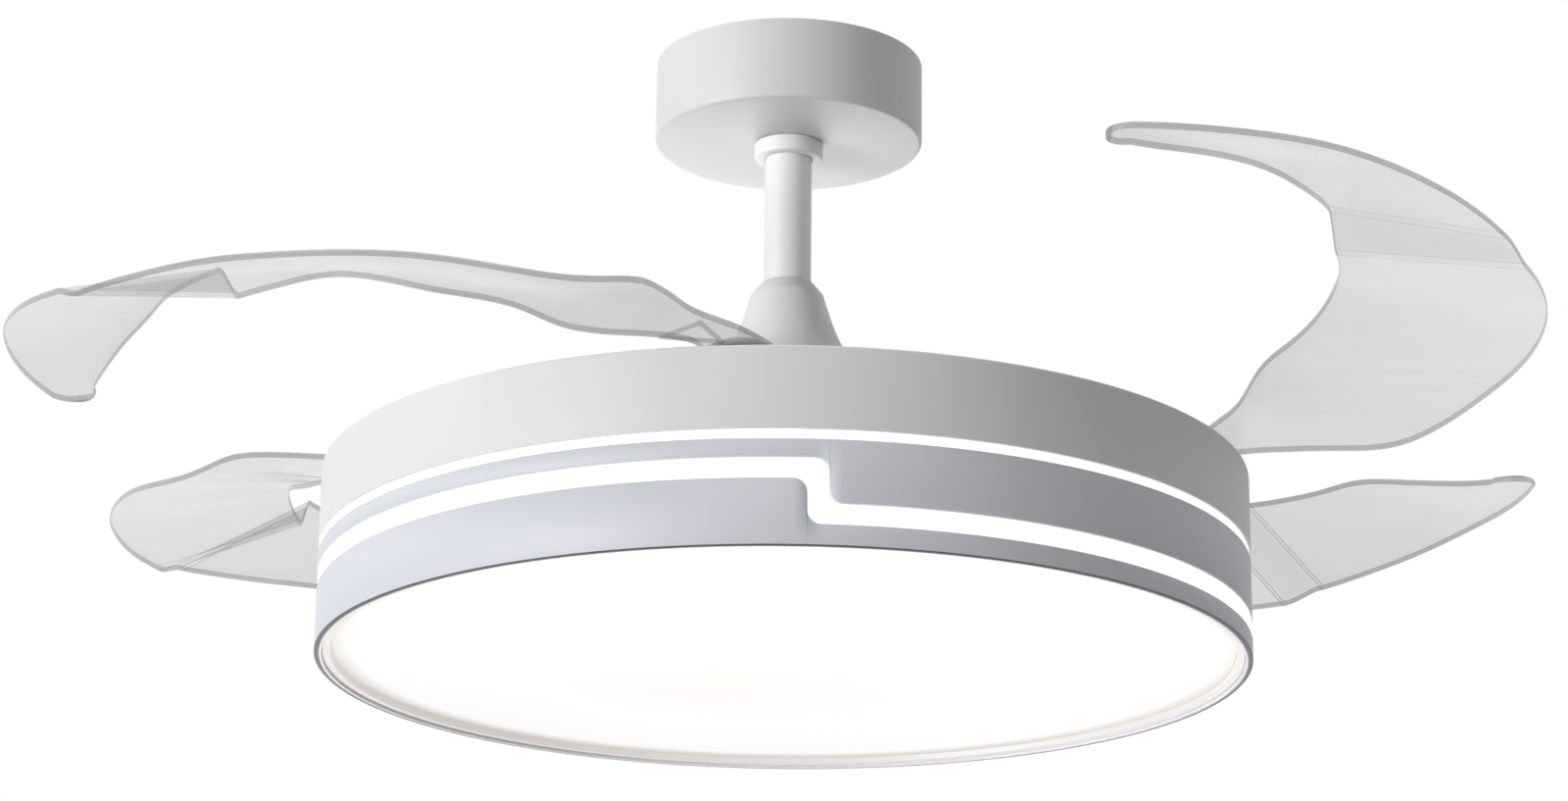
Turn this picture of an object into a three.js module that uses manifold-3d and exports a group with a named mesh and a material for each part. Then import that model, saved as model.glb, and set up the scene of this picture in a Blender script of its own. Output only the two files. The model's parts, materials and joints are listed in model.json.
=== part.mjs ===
// Ceiling fan with four clear swinging blades above a round LED lamp.
// Millimetres, +Z up. The origin is the middle of the ceiling bracket's top face.
import * as THREE from 'three';
import { mergeVertices } from 'three/addons/utils/BufferGeometryUtils.js';
import Module from 'manifold-3d';

const wasm = await Module();
wasm.setup();

// ---------------------------------------------------------------- driving dimensions
// Heights inside the fan are measured upward from the lower edge of the lamp drum.
const OVERALL_HEIGHT = 345;
const SEAT_GAP = 0.3;

// lamp drum
const DRUM_RADIUS = 250;
const DRUM_HEIGHT = 101;
const BAND_WALL = 4;
const BAND_CLEARANCE = 1.6;
const TOP_LIP_WIDTH = 11;
const SLIT_BOTTOM = 53.8;
const SLIT_HEIGHT = 4.4;
const LIGHT_BAND_HEIGHT = 9.8;
const LIGHT_BAND_HIGH = 34;
const LIGHT_BAND_LOW = 11.2;
const STEP_OFFSET = 11;
const STEP_WIDTH = 10;
const STEP_CORNER = 7;
const FRAME_WALL = 3;
const FRAME_SHELF = 10;
const FRAME_SHELF_THICKNESS = 2;
const DIFFUSER_SHELF_HEIGHT = 24;
const CHASSIS_SHELF_HEIGHT = 92;
const CHASSIS_THICKNESS = 2;
const DIFFUSER_RECESS = 4;
const DIFFUSER_WALL = 2.5;
const DIFFUSER_CORNER = 9;
const PAN_THICKNESS = 1.5;
const PAN_FLAT_RADIUS = 212;
const PAN_FLAT_HEIGHT = 56;
const PAN_HOLE_RADIUS = 32;
const LED_BOARD_RADIUS = 200;
const LED_BOARD_THICKNESS = 1.6;
const LED_RINGS = [80, 160];
const LED_SPACING = 85;
const LED_SIZE = [5, 5, 1];
const STRIP_HEIGHT = 8;
const STRIP_THICKNESS = 1.2;
const DRIVER_SIZE = [130, 58, 26];
const RECEIVER_SIZE = [92, 46, 22];
const BOX_OFFSET = 118;

// fixed shaft and motor
const SHAFT_RADIUS = 8;
const SHAFT_BORE = 4.5;
const SHAFT_BOTTOM = 74;
const SHAFT_FLANGE_RADIUS = 26;
const SHAFT_FLANGE_THICKNESS = 4;
const NUT_ACROSS_FLATS = 30;
const NUT_HEIGHT = 8;
const MOTOR_RADIUS = 92;
const MOTOR_WALL = 3.5;
const MOTOR_BOTTOM = 107.3;
const MOTOR_HEIGHT = 36;
const BEARING_RADIUS = 17;
const BEARING_HEIGHT = 8;
const BEARING_BOSS = 6;
const STATOR_RADIUS = 80;
const STATOR_HEIGHT = 18;
const STATOR_SEAT_RADIUS = 20;
const STATOR_POLES = 12;
const MAGNET_THICKNESS = 4;
const WINDING_HEIGHT = 4.5;
const WINDING_INNER = 42;
const WINDING_OUTER = 70;

// blade carrier, cover and pivots
const ROTOR_PHASE = -7.7;
const CARRIER_RADIUS = 204;
const CARRIER_THICKNESS = 3;
const CARRIER_HOLE = 46;
const COVER_RADIUS = 106;
const COVER_WALL = 2;
const COVER_SHOULDER = 140;
const COVER_TOP = 158;
const COVER_HOLE = 40;
const PIVOT_RADIUS = 176;
const POST_RADIUS = 5;
const POST_HEAD_RADIUS = 8;
const POST_HEAD_THICKNESS = 2;
const HUB_RADIUS = 9;
const HUB_FLANGE_RADIUS = 22;
const HUB_FLANGE_THICKNESS = 3;
const CLAMP_RADIUS = 18;
const CLAMP_THICKNESS = 2.5;
const CAP_RADIUS = 12;
const CAP_HEIGHT = 4;
const SPRING_RADIUS = 12;
const SPRING_WIRE = 1.2;
const SPRING_TURNS = 2.5;
const SPRING_PITCH = 1.75;

// blades, described where they lie folded round the axis: angles clockwise from the pivot,
// edges as distances outward from the pivot circle, levels as rises above the root, pitches as
// the fall per length outward
const BLADE_OUTER_RADIUS = 238;
const BLADE_THICKNESS = 2.8;
const BLADE_ROOT_LEVEL = 118;
const BLADE_FOLD = [104.5, 111];
const BLADE_ROOT_RADIUS = 24;
const BLADE_TIP_RADIUS = 13;
const BLADE_TIP_ANGLE = 164;
const BLADE_OUTER_REACH = BLADE_OUTER_RADIUS - PIVOT_RADIUS;
const BLADE_TIP_INNER_REACH = BLADE_OUTER_REACH - 2 * BLADE_TIP_RADIUS;
const BLADE_INNER_EDGE = [[0, -BLADE_ROOT_RADIUS], [12, -2], [26, -25], [40, -42], [55, -46],
  [75, -42], [95, -37.5], [112, -29.5], [128, -22], [142, -13], [154, 10],
  [BLADE_TIP_ANGLE, BLADE_TIP_INNER_REACH]];
const BLADE_OUTER_EDGE = [[0, BLADE_ROOT_RADIUS], [10, 30], [20, 34], [26, 46], [32, 60],
  [38, BLADE_OUTER_REACH]];
const BLADE_ROOT_RISES = [[6, 0], [18, 0.8], [30, 3], [42, 8], [60, 15], [80, 22.5], [95, 22.5],
  [BLADE_FOLD[0], 22.5]];
const BLADE_TIP_RISES = [[BLADE_FOLD[1], 36.5], [124, 40], [140, 43.5], [155, 39], [168, 28]];
const BLADE_ROOT_PITCHES = [[6, 0], [18, 0.01], [30, 0.03], [42, 0.19], [60, 0.18], [80, 0.24],
  [BLADE_FOLD[0], 0.22]];
const BLADE_TIP_PITCHES = [[BLADE_FOLD[1], 0.34], [124, 0.29], [140, 0.25], [155, 0.17], [168, 0]];
const BLADE_RIB_ANGLES = [9, 18];
const BLADE_RIB_MARGIN = 4;
const BLADE_RIB_DEPTH = 1.2;
const BLADE_OPEN_ANGLES = [86, 65, 92, 83];

// suspension
const ROD_RADIUS = 13;
const ROD_WALL = 1.8;
const CANOPY_RADIUS = 74;
const CANOPY_HEIGHT = 46;
const CANOPY_WALL = 2;
const CANOPY_CORNER = 2.5;
const COLLAR_RADIUS = 19;
const COLLAR_HEIGHT = 9;
const BELL_TOP = 217;
const BELL_BOTTOM = 163;
const BELL_NECK_RADIUS = 20;
const BELL_CHAMFER = 7;
const BELL_MOUTH_RADIUS = 46;
const BELL_WALL = 2;
const COUPLING_RADIUS = 17;
const COUPLING_BOTTOM = 164;
const COUPLING_HEIGHT = 42;
const COUPLING_WEB = 5;
const PIN_RADIUS = 3;
const BRACKET_WIDTH = 90;
const BRACKET_DEPTH = 34;
const BRACKET_PLATE = 2.5;
const BRACKET_SEAT = 6;
const BRACKET_DROP = 39;
const BALL_RADIUS = 20;
const BALL_LIFT = 6;

// ---------------------------------------------------------------- derived sizes
const FRAME_RADIUS = DRUM_RADIUS - BAND_WALL - BAND_CLEARANCE;
const FRAME_INNER = FRAME_RADIUS - FRAME_WALL;
const CHASSIS_BOTTOM = CHASSIS_SHELF_HEIGHT + FRAME_SHELF_THICKNESS + SEAT_GAP;
const CHASSIS_TOP = CHASSIS_BOTTOM + CHASSIS_THICKNESS;
const MOTOR_TOP = MOTOR_BOTTOM + MOTOR_HEIGHT;
const MOTOR_MIDDLE = (MOTOR_BOTTOM + MOTOR_TOP) / 2;
const CARRIER_TOP = MOTOR_BOTTOM - SEAT_GAP;
const CARRIER_BOTTOM = CARRIER_TOP - CARRIER_THICKNESS;
const STATOR_SEAT_HALF = STATOR_HEIGHT / 2 + 0.5;
const HUB_FLANGE_TOP = BLADE_ROOT_LEVEL - BLADE_THICKNESS / 2 - SEAT_GAP;
const HUB_FLANGE_BOTTOM = HUB_FLANGE_TOP - HUB_FLANGE_THICKNESS;
const CLAMP_BOTTOM = BLADE_ROOT_LEVEL + BLADE_THICKNESS / 2 + SEAT_GAP;
const CLAMP_TOP = CLAMP_BOTTOM + CLAMP_THICKNESS;
const CAP_BOTTOM = CLAMP_TOP + SEAT_GAP;
const POST_TOP = CAP_BOTTOM + CAP_HEIGHT / 2 - SEAT_GAP;
const ROD_BOTTOM = COUPLING_BOTTOM + COUPLING_HEIGHT / 2 + SEAT_GAP;
const SHAFT_TOP = ROD_BOTTOM - COUPLING_WEB - 2 * SEAT_GAP;
const CANOPY_BOTTOM = OVERALL_HEIGHT - CANOPY_HEIGHT;
const BALL_CENTRE = OVERALL_HEIGHT - BRACKET_DROP + BRACKET_SEAT + BALL_LIFT;
const ROD_TOP = BALL_CENTRE + BALL_RADIUS * 0.7;
const DRUM_ROUND = 40;
const ROUND = 28;
const SMALL_ROUND = 14;
const ROD_ROUND = 20;

// ---------------------------------------------------------------- materials
const paint = (color, roughness, metalness = 0) =>
  new THREE.MeshStandardMaterial({ color, roughness, metalness });
const whitePaint = paint(0xe6e6e6, 0.45, 0.1);
const greyPaint = paint(0xc9cbd2, 0.4, 0.3);
const steel = paint(0x9a9da0, 0.35, 0.9);
const aluminium = paint(0xb9bcc0, 0.45, 0.85);
const darkSteel = paint(0x55585c, 0.5, 0.8);
const copper = paint(0xb4673a, 0.4, 0.8);
const clearPlastic = new THREE.MeshStandardMaterial(
  { color: 0xdfe3e6, roughness: 0.08, metalness: 0, transparent: true, opacity: 0.35 });
const opal = new THREE.MeshStandardMaterial(
  { color: 0xffffff, roughness: 0.4, metalness: 0, emissive: 0xffffff });
const blackPlastic = paint(0x26282a, 0.55);
const whitePlastic = paint(0xf0f0ee, 0.5);

// ---------------------------------------------------------------- geometry helpers
/** Signed volume of an indexed triangle mesh. */
function signedVolume(position, index) {
  const a = new THREE.Vector3();
  const b = new THREE.Vector3();
  const c = new THREE.Vector3();
  let volume = 0;
  for (let i = 0; i < index.length; i += 3) {
    a.fromBufferAttribute(position, index[i]);
    b.fromBufferAttribute(position, index[i + 1]);
    c.fromBufferAttribute(position, index[i + 2]);
    volume += a.dot(b.cross(c)) / 6;
  }
  return volume;
}

/** Merges shared vertices, drops collapsed faces and turns all faces outward. */
function closed(geometry) {
  const bare = geometry.clone();
  bare.deleteAttribute('normal');
  bare.deleteAttribute('uv');
  const merged = mergeVertices(bare, 1e-4);
  const source = merged.index.array;
  const index = [];
  for (let i = 0; i < source.length; i += 3) {
    const [a, b, c] = [source[i], source[i + 1], source[i + 2]];
    if (a !== b && b !== c && c !== a) index.push(a, b, c);
  }
  if (signedVolume(merged.attributes.position, index) < 0) index.reverse();
  merged.setIndex(index);
  return merged;
}

/** A closed geometry as a solid for joining and cutting. */
function toSolid(geometry) {
  const clean = closed(geometry);
  return new wasm.Manifold(new wasm.Mesh({
    numProp: 3,
    vertProperties: new Float32Array(clean.attributes.position.array),
    triVerts: new Uint32Array(clean.index.array),
  }));
}

/** A solid back as a buffer geometry. */
function fromSolid(solid) {
  const mesh = solid.getMesh();
  const geometry = new THREE.BufferGeometry();
  geometry.setAttribute('position', new THREE.BufferAttribute(mesh.vertProperties, 3));
  geometry.setIndex(new THREE.BufferAttribute(mesh.triVerts, 1));
  return geometry;
}

/** base joined with every geometry in added and cut by every geometry in removed. */
function combine(base, added, removed) {
  let solid = toSolid(base);
  for (const geometry of added) solid = solid.add(toSolid(geometry));
  for (const geometry of removed) solid = solid.subtract(toSolid(geometry));
  return fromSolid(solid);
}

const cut = (base, ...removed) => combine(base, [], removed);

/** Revolves a closed [radius, height] outline about the Z axis. */
function revolve(outline, segments = ROUND) {
  const points = outline.map(([r, z]) => new THREE.Vector2(r, z));
  points.push(points[0].clone());
  const geometry = new THREE.LatheGeometry(points, segments);
  geometry.rotateX(Math.PI / 2);
  return closed(geometry);
}

/** Ring or disc between two radii and two heights. */
function ring(inner, outer, bottom, top, segments = ROUND) {
  return revolve([[inner, bottom], [outer, bottom], [outer, top], [inner, top]], segments);
}

/** Upright cylinder. */
function cylinder(radius, bottom, top, segments = SMALL_ROUND) {
  const geometry = new THREE.CylinderGeometry(radius, radius, top - bottom, segments);
  geometry.rotateX(Math.PI / 2);
  geometry.translate(0, 0, (bottom + top) / 2);
  return geometry;
}

/** Cylinder lying along X, centred at height z. */
function crossCylinder(radius, length, z, segments = 12) {
  const geometry = new THREE.CylinderGeometry(radius, radius, length, segments);
  geometry.rotateZ(Math.PI / 2);
  geometry.translate(0, 0, z);
  return geometry;
}

/** Flat shape extruded from one height to another. */
function slab(shape, bottom, top, curveSegments = 12) {
  const geometry = new THREE.ExtrudeGeometry(shape,
    { depth: top - bottom, bevelEnabled: false, curveSegments });
  geometry.translate(0, 0, bottom);
  return closed(geometry);
}

/** Rectangle with rounded corners as a shape centred on the origin. */
function roundedRectangle(width, depth, corner) {
  const x = width / 2;
  const y = depth / 2;
  const shape = new THREE.Shape();
  shape.moveTo(-x + corner, -y);
  shape.lineTo(x - corner, -y);
  shape.absarc(x - corner, -y + corner, corner, -Math.PI / 2, 0);
  shape.lineTo(x, y - corner);
  shape.absarc(x - corner, y - corner, corner, 0, Math.PI / 2);
  shape.lineTo(-x + corner, y);
  shape.absarc(-x + corner, y - corner, corner, Math.PI / 2, Math.PI);
  shape.lineTo(-x, -y + corner);
  shape.absarc(-x + corner, -y + corner, corner, Math.PI, Math.PI * 1.5);
  return shape;
}

/** Points of a quarter arc, as [radius, height] pairs. */
function arc(centreRadius, centreHeight, radius, fromDegrees, toDegrees, steps) {
  const points = [];
  for (let i = 0; i <= steps; i += 1) {
    const angle = THREE.MathUtils.degToRad(fromDegrees + ((toDegrees - fromDegrees) * i) / steps);
    points.push([centreRadius + radius * Math.cos(angle), centreHeight + radius * Math.sin(angle)]);
  }
  return points;
}

const smooth = (from, to, value) => THREE.MathUtils.smoothstep(value, from, to);

// ---------------------------------------------------------------- lamp drum bands
/**
 * Edge line round the drum as [angle, height] pairs: low on the right half, high on the left
 * half, with a round-cornered step at the front and its mirror image at the back.
 */
function steppedEdge(high, low, offset) {
  const turn = (distance) => distance / DRUM_RADIUS;
  const front = -Math.PI / 2;
  const cornerSteps = 3;
  const stretchSteps = 20;
  const step = [];
  for (let i = 0; i <= cornerSteps; i += 1) {
    const a = (Math.PI / 2) * (i / cornerSteps);
    step.push([offset - STEP_CORNER * (1 - Math.sin(a)), high - STEP_CORNER * (1 - Math.cos(a))]);
  }
  for (let i = 0; i <= cornerSteps; i += 1) {
    const a = (Math.PI / 2) * (i / cornerSteps);
    step.push([offset + STEP_CORNER * (1 - Math.cos(a)), low + STEP_CORNER * (1 - Math.sin(a))]);
  }
  const edge = step.map(([distance, height]) => [front + turn(distance), height]);
  const backStep = step.map(([distance, height]) => [front + Math.PI - turn(distance), height]);
  backStep.reverse();
  const stretch = (from, to, height) => {
    for (let i = 1; i < stretchSteps; i += 1) {
      edge.push([from + ((to - from) * i) / stretchSteps, height]);
    }
  };
  stretch(edge[edge.length - 1][0], backStep[0][0], low);
  edge.push(...backStep);
  stretch(edge[edge.length - 1][0], edge[0][0] + 2 * Math.PI, high);
  return edge;
}

/** Level edge line with its points at the angles of the given line. */
function levelEdge(height, like) {
  return like.map(([angle]) => [angle, height]);
}

/** Closed band of the drum wall between a lower and an upper edge line. */
function drumBand(lower, upper) {
  const inner = DRUM_RADIUS - BAND_WALL;
  const loops = [[lower, DRUM_RADIUS], [upper, DRUM_RADIUS], [upper, inner], [lower, inner]];
  const count = lower.length;
  const positions = [];
  for (const [edge, radius] of loops) {
    for (const [angle, height] of edge) {
      positions.push(radius * Math.cos(angle), radius * Math.sin(angle), height);
    }
  }
  const index = [];
  for (let k = 0; k < loops.length; k += 1) {
    const next = (k + 1) % loops.length;
    for (let i = 0; i < count; i += 1) {
      const j = (i + 1) % count;
      index.push(k * count + i, k * count + j, next * count + j);
      index.push(k * count + i, next * count + j, next * count + i);
    }
  }
  const geometry = new THREE.BufferGeometry();
  geometry.setAttribute('position', new THREE.Float32BufferAttribute(positions, 3));
  geometry.setIndex(index);
  return closed(geometry);
}

const lightLower = steppedEdge(LIGHT_BAND_HIGH, LIGHT_BAND_LOW, STEP_OFFSET);
const lightUpper = steppedEdge(LIGHT_BAND_HIGH + LIGHT_BAND_HEIGHT,
  LIGHT_BAND_LOW + LIGHT_BAND_HEIGHT, STEP_OFFSET + STEP_WIDTH);

function lowerBand() {
  const edge = steppedEdge(LIGHT_BAND_HIGH - SEAT_GAP, LIGHT_BAND_LOW - SEAT_GAP,
    STEP_OFFSET - SEAT_GAP);
  return drumBand(levelEdge(0, edge), edge);
}

function steppedLightBand() {
  return drumBand(lightLower, lightUpper);
}

function middleBand() {
  const edge = steppedEdge(LIGHT_BAND_HIGH + LIGHT_BAND_HEIGHT + SEAT_GAP,
    LIGHT_BAND_LOW + LIGHT_BAND_HEIGHT + SEAT_GAP, STEP_OFFSET + STEP_WIDTH + SEAT_GAP);
  return drumBand(edge, levelEdge(SLIT_BOTTOM - SEAT_GAP, edge));
}

function thinLightRing() {
  return ring(DRUM_RADIUS - BAND_WALL, DRUM_RADIUS - 0.5, SLIT_BOTTOM,
    SLIT_BOTTOM + SLIT_HEIGHT, DRUM_ROUND);
}

function upperRing() {
  const inner = DRUM_RADIUS - BAND_WALL;
  const bottom = SLIT_BOTTOM + SLIT_HEIGHT + SEAT_GAP;
  const lip = CHASSIS_TOP + SEAT_GAP;
  const lipInner = DRUM_RADIUS - TOP_LIP_WIDTH;
  return revolve([[inner, bottom], [DRUM_RADIUS, bottom], [DRUM_RADIUS, DRUM_HEIGHT - 1],
    [DRUM_RADIUS - 1, DRUM_HEIGHT], [lipInner, DRUM_HEIGHT], [lipInner, lip], [inner, lip]],
  DRUM_ROUND);
}

// ---------------------------------------------------------------- lamp inside
function lampFrame() {
  const shelf = FRAME_INNER - FRAME_SHELF;
  const low = DIFFUSER_SHELF_HEIGHT;
  const high = CHASSIS_SHELF_HEIGHT;
  const thick = FRAME_SHELF_THICKNESS;
  return revolve([[FRAME_INNER, 1.5], [FRAME_RADIUS, 1.5], [FRAME_RADIUS, CHASSIS_TOP],
    [FRAME_INNER, CHASSIS_TOP], [FRAME_INNER, high + thick], [shelf, high + thick], [shelf, high],
    [FRAME_INNER, high], [FRAME_INNER, low + thick], [shelf, low + thick], [shelf, low],
    [FRAME_INNER, low]], DRUM_ROUND);
}

function bottomDiffuser() {
  const outer = FRAME_INNER - SEAT_GAP;
  const top = DIFFUSER_SHELF_HEIGHT - SEAT_GAP;
  const centreRadius = outer - DIFFUSER_CORNER;
  const centreHeight = DIFFUSER_RECESS + DIFFUSER_CORNER;
  const inside = DIFFUSER_CORNER - DIFFUSER_WALL;
  return revolve([[0, DIFFUSER_RECESS],
    ...arc(centreRadius, centreHeight, DIFFUSER_CORNER, -90, 0, 3), [outer, top],
    [outer - DIFFUSER_WALL, top], ...arc(centreRadius, centreHeight, inside, 0, -90, 2),
    [0, DIFFUSER_RECESS + DIFFUSER_WALL]], DRUM_ROUND);
}

function reflectorPan() {
  const rim = FRAME_INNER - SEAT_GAP;
  const seat = DIFFUSER_SHELF_HEIGHT + FRAME_SHELF_THICKNESS + SEAT_GAP;
  const wall = FRAME_INNER - FRAME_SHELF - 2;
  const flat = PAN_FLAT_HEIGHT;
  return revolve([[PAN_HOLE_RADIUS, flat], [PAN_FLAT_RADIUS, flat], [wall, seat], [rim, seat],
    [rim, seat + PAN_THICKNESS], [wall + PAN_THICKNESS, seat + PAN_THICKNESS],
    [PAN_FLAT_RADIUS + PAN_THICKNESS, flat + PAN_THICKNESS],
    [PAN_HOLE_RADIUS, flat + PAN_THICKNESS]], DRUM_ROUND);
}

function ledBoard() {
  const top = PAN_FLAT_HEIGHT - SEAT_GAP;
  const bottom = top - LED_BOARD_THICKNESS;
  const chips = [];
  for (const radius of LED_RINGS) {
    const count = Math.round((2 * Math.PI * radius) / LED_SPACING);
    for (let i = 0; i < count; i += 1) {
      const chip = new THREE.BoxGeometry(...LED_SIZE);
      chip.translate(radius, 0, bottom - LED_SIZE[2] / 2 + 0.2);
      chip.rotateZ((2 * Math.PI * i) / count);
      chips.push(chip);
    }
  }
  return combine(ring(PAN_HOLE_RADIUS, LED_BOARD_RADIUS, bottom, top), chips, []);
}

function sideLedStrip() {
  const outer = FRAME_INNER - SEAT_GAP;
  const bottom = DIFFUSER_SHELF_HEIGHT + FRAME_SHELF_THICKNESS + PAN_THICKNESS + 4 * SEAT_GAP;
  return ring(outer - STRIP_THICKNESS, outer, bottom, bottom + STRIP_HEIGHT, DRUM_ROUND);
}

function chassisPlate() {
  const radius = FRAME_INNER - SEAT_GAP;
  const hole = cylinder(SHAFT_RADIUS + SEAT_GAP, CHASSIS_BOTTOM - 1, CHASSIS_TOP + 1);
  const beadOuter = radius - 20;
  const beads = ring(beadOuter - 6, beadOuter, CHASSIS_TOP - 1, CHASSIS_TOP + 1);
  return cut(cylinder(radius, CHASSIS_BOTTOM, CHASSIS_TOP, DRUM_ROUND), hole, beads);
}

/** Closed electronics box standing on the reflector pan. */
function electronicsBox([width, depth, height]) {
  const bottom = PAN_FLAT_HEIGHT + PAN_THICKNESS + SEAT_GAP;
  const body = slab(roundedRectangle(width, depth, 4), bottom, bottom + height, 3);
  const lid = slab(roundedRectangle(width - 6, depth - 6, 3), bottom + height - 0.5,
    bottom + height + 1, 3);
  const notch = new THREE.BoxGeometry(8, 14, 8);
  notch.translate(width / 2, 0, bottom + height / 2);
  return combine(body, [lid], [notch]);
}

// ---------------------------------------------------------------- shaft and motor
function fixedShaft() {
  const flangeBottom = CHASSIS_TOP + SEAT_GAP;
  const flangeTop = flangeBottom + SHAFT_FLANGE_THICKNESS;
  const seatBottom = MOTOR_MIDDLE - STATOR_SEAT_HALF;
  const seatTop = MOTOR_MIDDLE + STATOR_SEAT_HALF;
  return revolve([[SHAFT_BORE, SHAFT_BOTTOM], [SHAFT_RADIUS, SHAFT_BOTTOM],
    [SHAFT_RADIUS, flangeBottom], [SHAFT_FLANGE_RADIUS, flangeBottom],
    [SHAFT_FLANGE_RADIUS, flangeTop], [SHAFT_RADIUS, flangeTop], [SHAFT_RADIUS, seatBottom],
    [STATOR_SEAT_RADIUS, seatBottom], [STATOR_SEAT_RADIUS, seatTop], [SHAFT_RADIUS, seatTop],
    [SHAFT_RADIUS, SHAFT_TOP], [SHAFT_BORE, SHAFT_TOP]], SMALL_ROUND);
}

function shaftNut() {
  const top = CHASSIS_BOTTOM - SEAT_GAP;
  const corner = NUT_ACROSS_FLATS / Math.sqrt(3);
  const body = new THREE.CylinderGeometry(corner, corner, NUT_HEIGHT, 6);
  body.rotateX(Math.PI / 2);
  body.translate(0, 0, top - NUT_HEIGHT / 2);
  return cut(body, cylinder(SHAFT_RADIUS + SEAT_GAP, top - NUT_HEIGHT - 1, top + 1));
}

function bearing(bottom) {
  const bore = SHAFT_RADIUS + SEAT_GAP;
  const top = bottom + BEARING_HEIGHT;
  const raceInner = bore + 2.5;
  const raceOuter = BEARING_RADIUS - 2.5;
  const shield = top - 1;
  return revolve([[bore, bottom], [BEARING_RADIUS, bottom], [BEARING_RADIUS, top], [raceOuter, top],
    [raceOuter, shield], [raceInner, shield], [raceInner, top], [bore, top]], SMALL_ROUND);
}

/** Half of the motor housing: a shallow bowl with a bearing boss, facing up or down. */
function motorHousing(faceUp) {
  const seat = BEARING_RADIUS + SEAT_GAP;
  const boss = seat + BEARING_BOSS;
  const inner = MOTOR_RADIUS - MOTOR_WALL;
  const rim = MOTOR_HEIGHT / 2 - SEAT_GAP / 2;
  const bossTop = BEARING_HEIGHT;
  const outline = [[seat, 0], [MOTOR_RADIUS - 2, 0], [MOTOR_RADIUS, 2], [MOTOR_RADIUS, rim],
    [inner, rim], [inner, MOTOR_WALL], [boss, MOTOR_WALL], [boss, bossTop], [seat, bossTop]];
  const place = ([r, z]) => [r, faceUp ? MOTOR_BOTTOM + z : MOTOR_TOP - z];
  return revolve(outline.map(place), ROUND);
}

function magnetRing() {
  const outer = MOTOR_RADIUS - MOTOR_WALL - SEAT_GAP;
  const half = STATOR_HEIGHT / 2 + 1;
  return ring(outer - MAGNET_THICKNESS, outer, MOTOR_MIDDLE - half, MOTOR_MIDDLE + half);
}

/** Laminated core: a hub with T-shaped poles. */
function statorCore() {
  const shape = new THREE.Shape();
  const yoke = WINDING_INNER - 4;
  const neck = WINDING_OUTER;
  const pitch = (2 * Math.PI) / STATOR_POLES;
  for (let i = 0; i < STATOR_POLES; i += 1) {
    const at = i * pitch;
    const corners = [[yoke, -0.22], [neck, -0.13], [neck, -0.4], [STATOR_RADIUS, -0.42],
      [STATOR_RADIUS, 0], [STATOR_RADIUS, 0.42], [neck, 0.4], [neck, 0.13], [yoke, 0.22]];
    for (const [radius, share] of corners) {
      const angle = at + share * pitch;
      const x = radius * Math.cos(angle);
      const y = radius * Math.sin(angle);
      if (i === 0 && share === -0.22) shape.moveTo(x, y);
      else shape.lineTo(x, y);
    }
  }
  const bore = new THREE.Path();
  bore.absarc(0, 0, STATOR_SEAT_RADIUS + SEAT_GAP, 0, 2 * Math.PI, true);
  shape.holes.push(bore);
  return slab(shape, MOTOR_MIDDLE - STATOR_HEIGHT / 2, MOTOR_MIDDLE + STATOR_HEIGHT / 2, 10);
}

/** End turns of the coils: a ring with one lobe for each pole. */
function windingRing(bottom) {
  const shape = new THREE.Shape();
  const steps = STATOR_POLES * 3;
  for (let i = 0; i < steps; i += 1) {
    const angle = (2 * Math.PI * i) / steps;
    const lobe = 0.5 + 0.5 * Math.cos(angle * STATOR_POLES);
    const radius = WINDING_OUTER - 4 + 4 * lobe;
    const x = radius * Math.cos(angle);
    const y = radius * Math.sin(angle);
    if (i === 0) shape.moveTo(x, y);
    else shape.lineTo(x, y);
  }
  const hole = new THREE.Path();
  hole.absarc(0, 0, WINDING_INNER, 0, 2 * Math.PI, true);
  shape.holes.push(hole);
  return slab(shape, bottom, bottom + WINDING_HEIGHT, 14);
}

// ---------------------------------------------------------------- rotor
/** Steel plate that carries the motor, the cover and the four pivot posts. */
function bladeCarrier() {
  const plate = ring(CARRIER_HOLE, CARRIER_RADIUS, CARRIER_BOTTOM, CARRIER_TOP, DRUM_ROUND);
  const holes = BLADE_OPEN_ANGLES.map((_, i) => {
    const hole = cylinder(POST_RADIUS + SEAT_GAP, CARRIER_BOTTOM - 1, CARRIER_TOP + 1, 12);
    hole.translate(PIVOT_RADIUS, 0, 0);
    hole.rotateZ((-Math.PI / 2) * i);
    return hole;
  });
  return cut(plate, ...holes);
}

function rotorCover() {
  const bottom = CARRIER_TOP + SEAT_GAP;
  const dome = [];
  const steps = 5;
  for (let i = 0; i <= steps; i += 1) {
    const a = (Math.PI / 2) * (i / steps);
    dome.push([COVER_HOLE + (COVER_RADIUS - COVER_HOLE) * Math.cos(a),
      COVER_SHOULDER + (COVER_TOP - COVER_SHOULDER) * Math.sin(a)]);
  }
  const inside = dome.map(([r, z]) => [Math.max(r - COVER_WALL, COVER_HOLE), z - COVER_WALL]);
  inside.reverse();
  return revolve([[COVER_RADIUS - COVER_WALL, bottom], [COVER_RADIUS, bottom], ...dome, ...inside]);
}

function pivotPost() {
  const headTop = CARRIER_BOTTOM - SEAT_GAP;
  const headBottom = headTop - POST_HEAD_THICKNESS;
  return revolve([[0, headBottom], [POST_HEAD_RADIUS, headBottom], [POST_HEAD_RADIUS, headTop],
    [POST_RADIUS, headTop], [POST_RADIUS, POST_TOP - 0.6], [POST_RADIUS - 0.6, POST_TOP],
    [0, POST_TOP]], 12);
}

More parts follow.
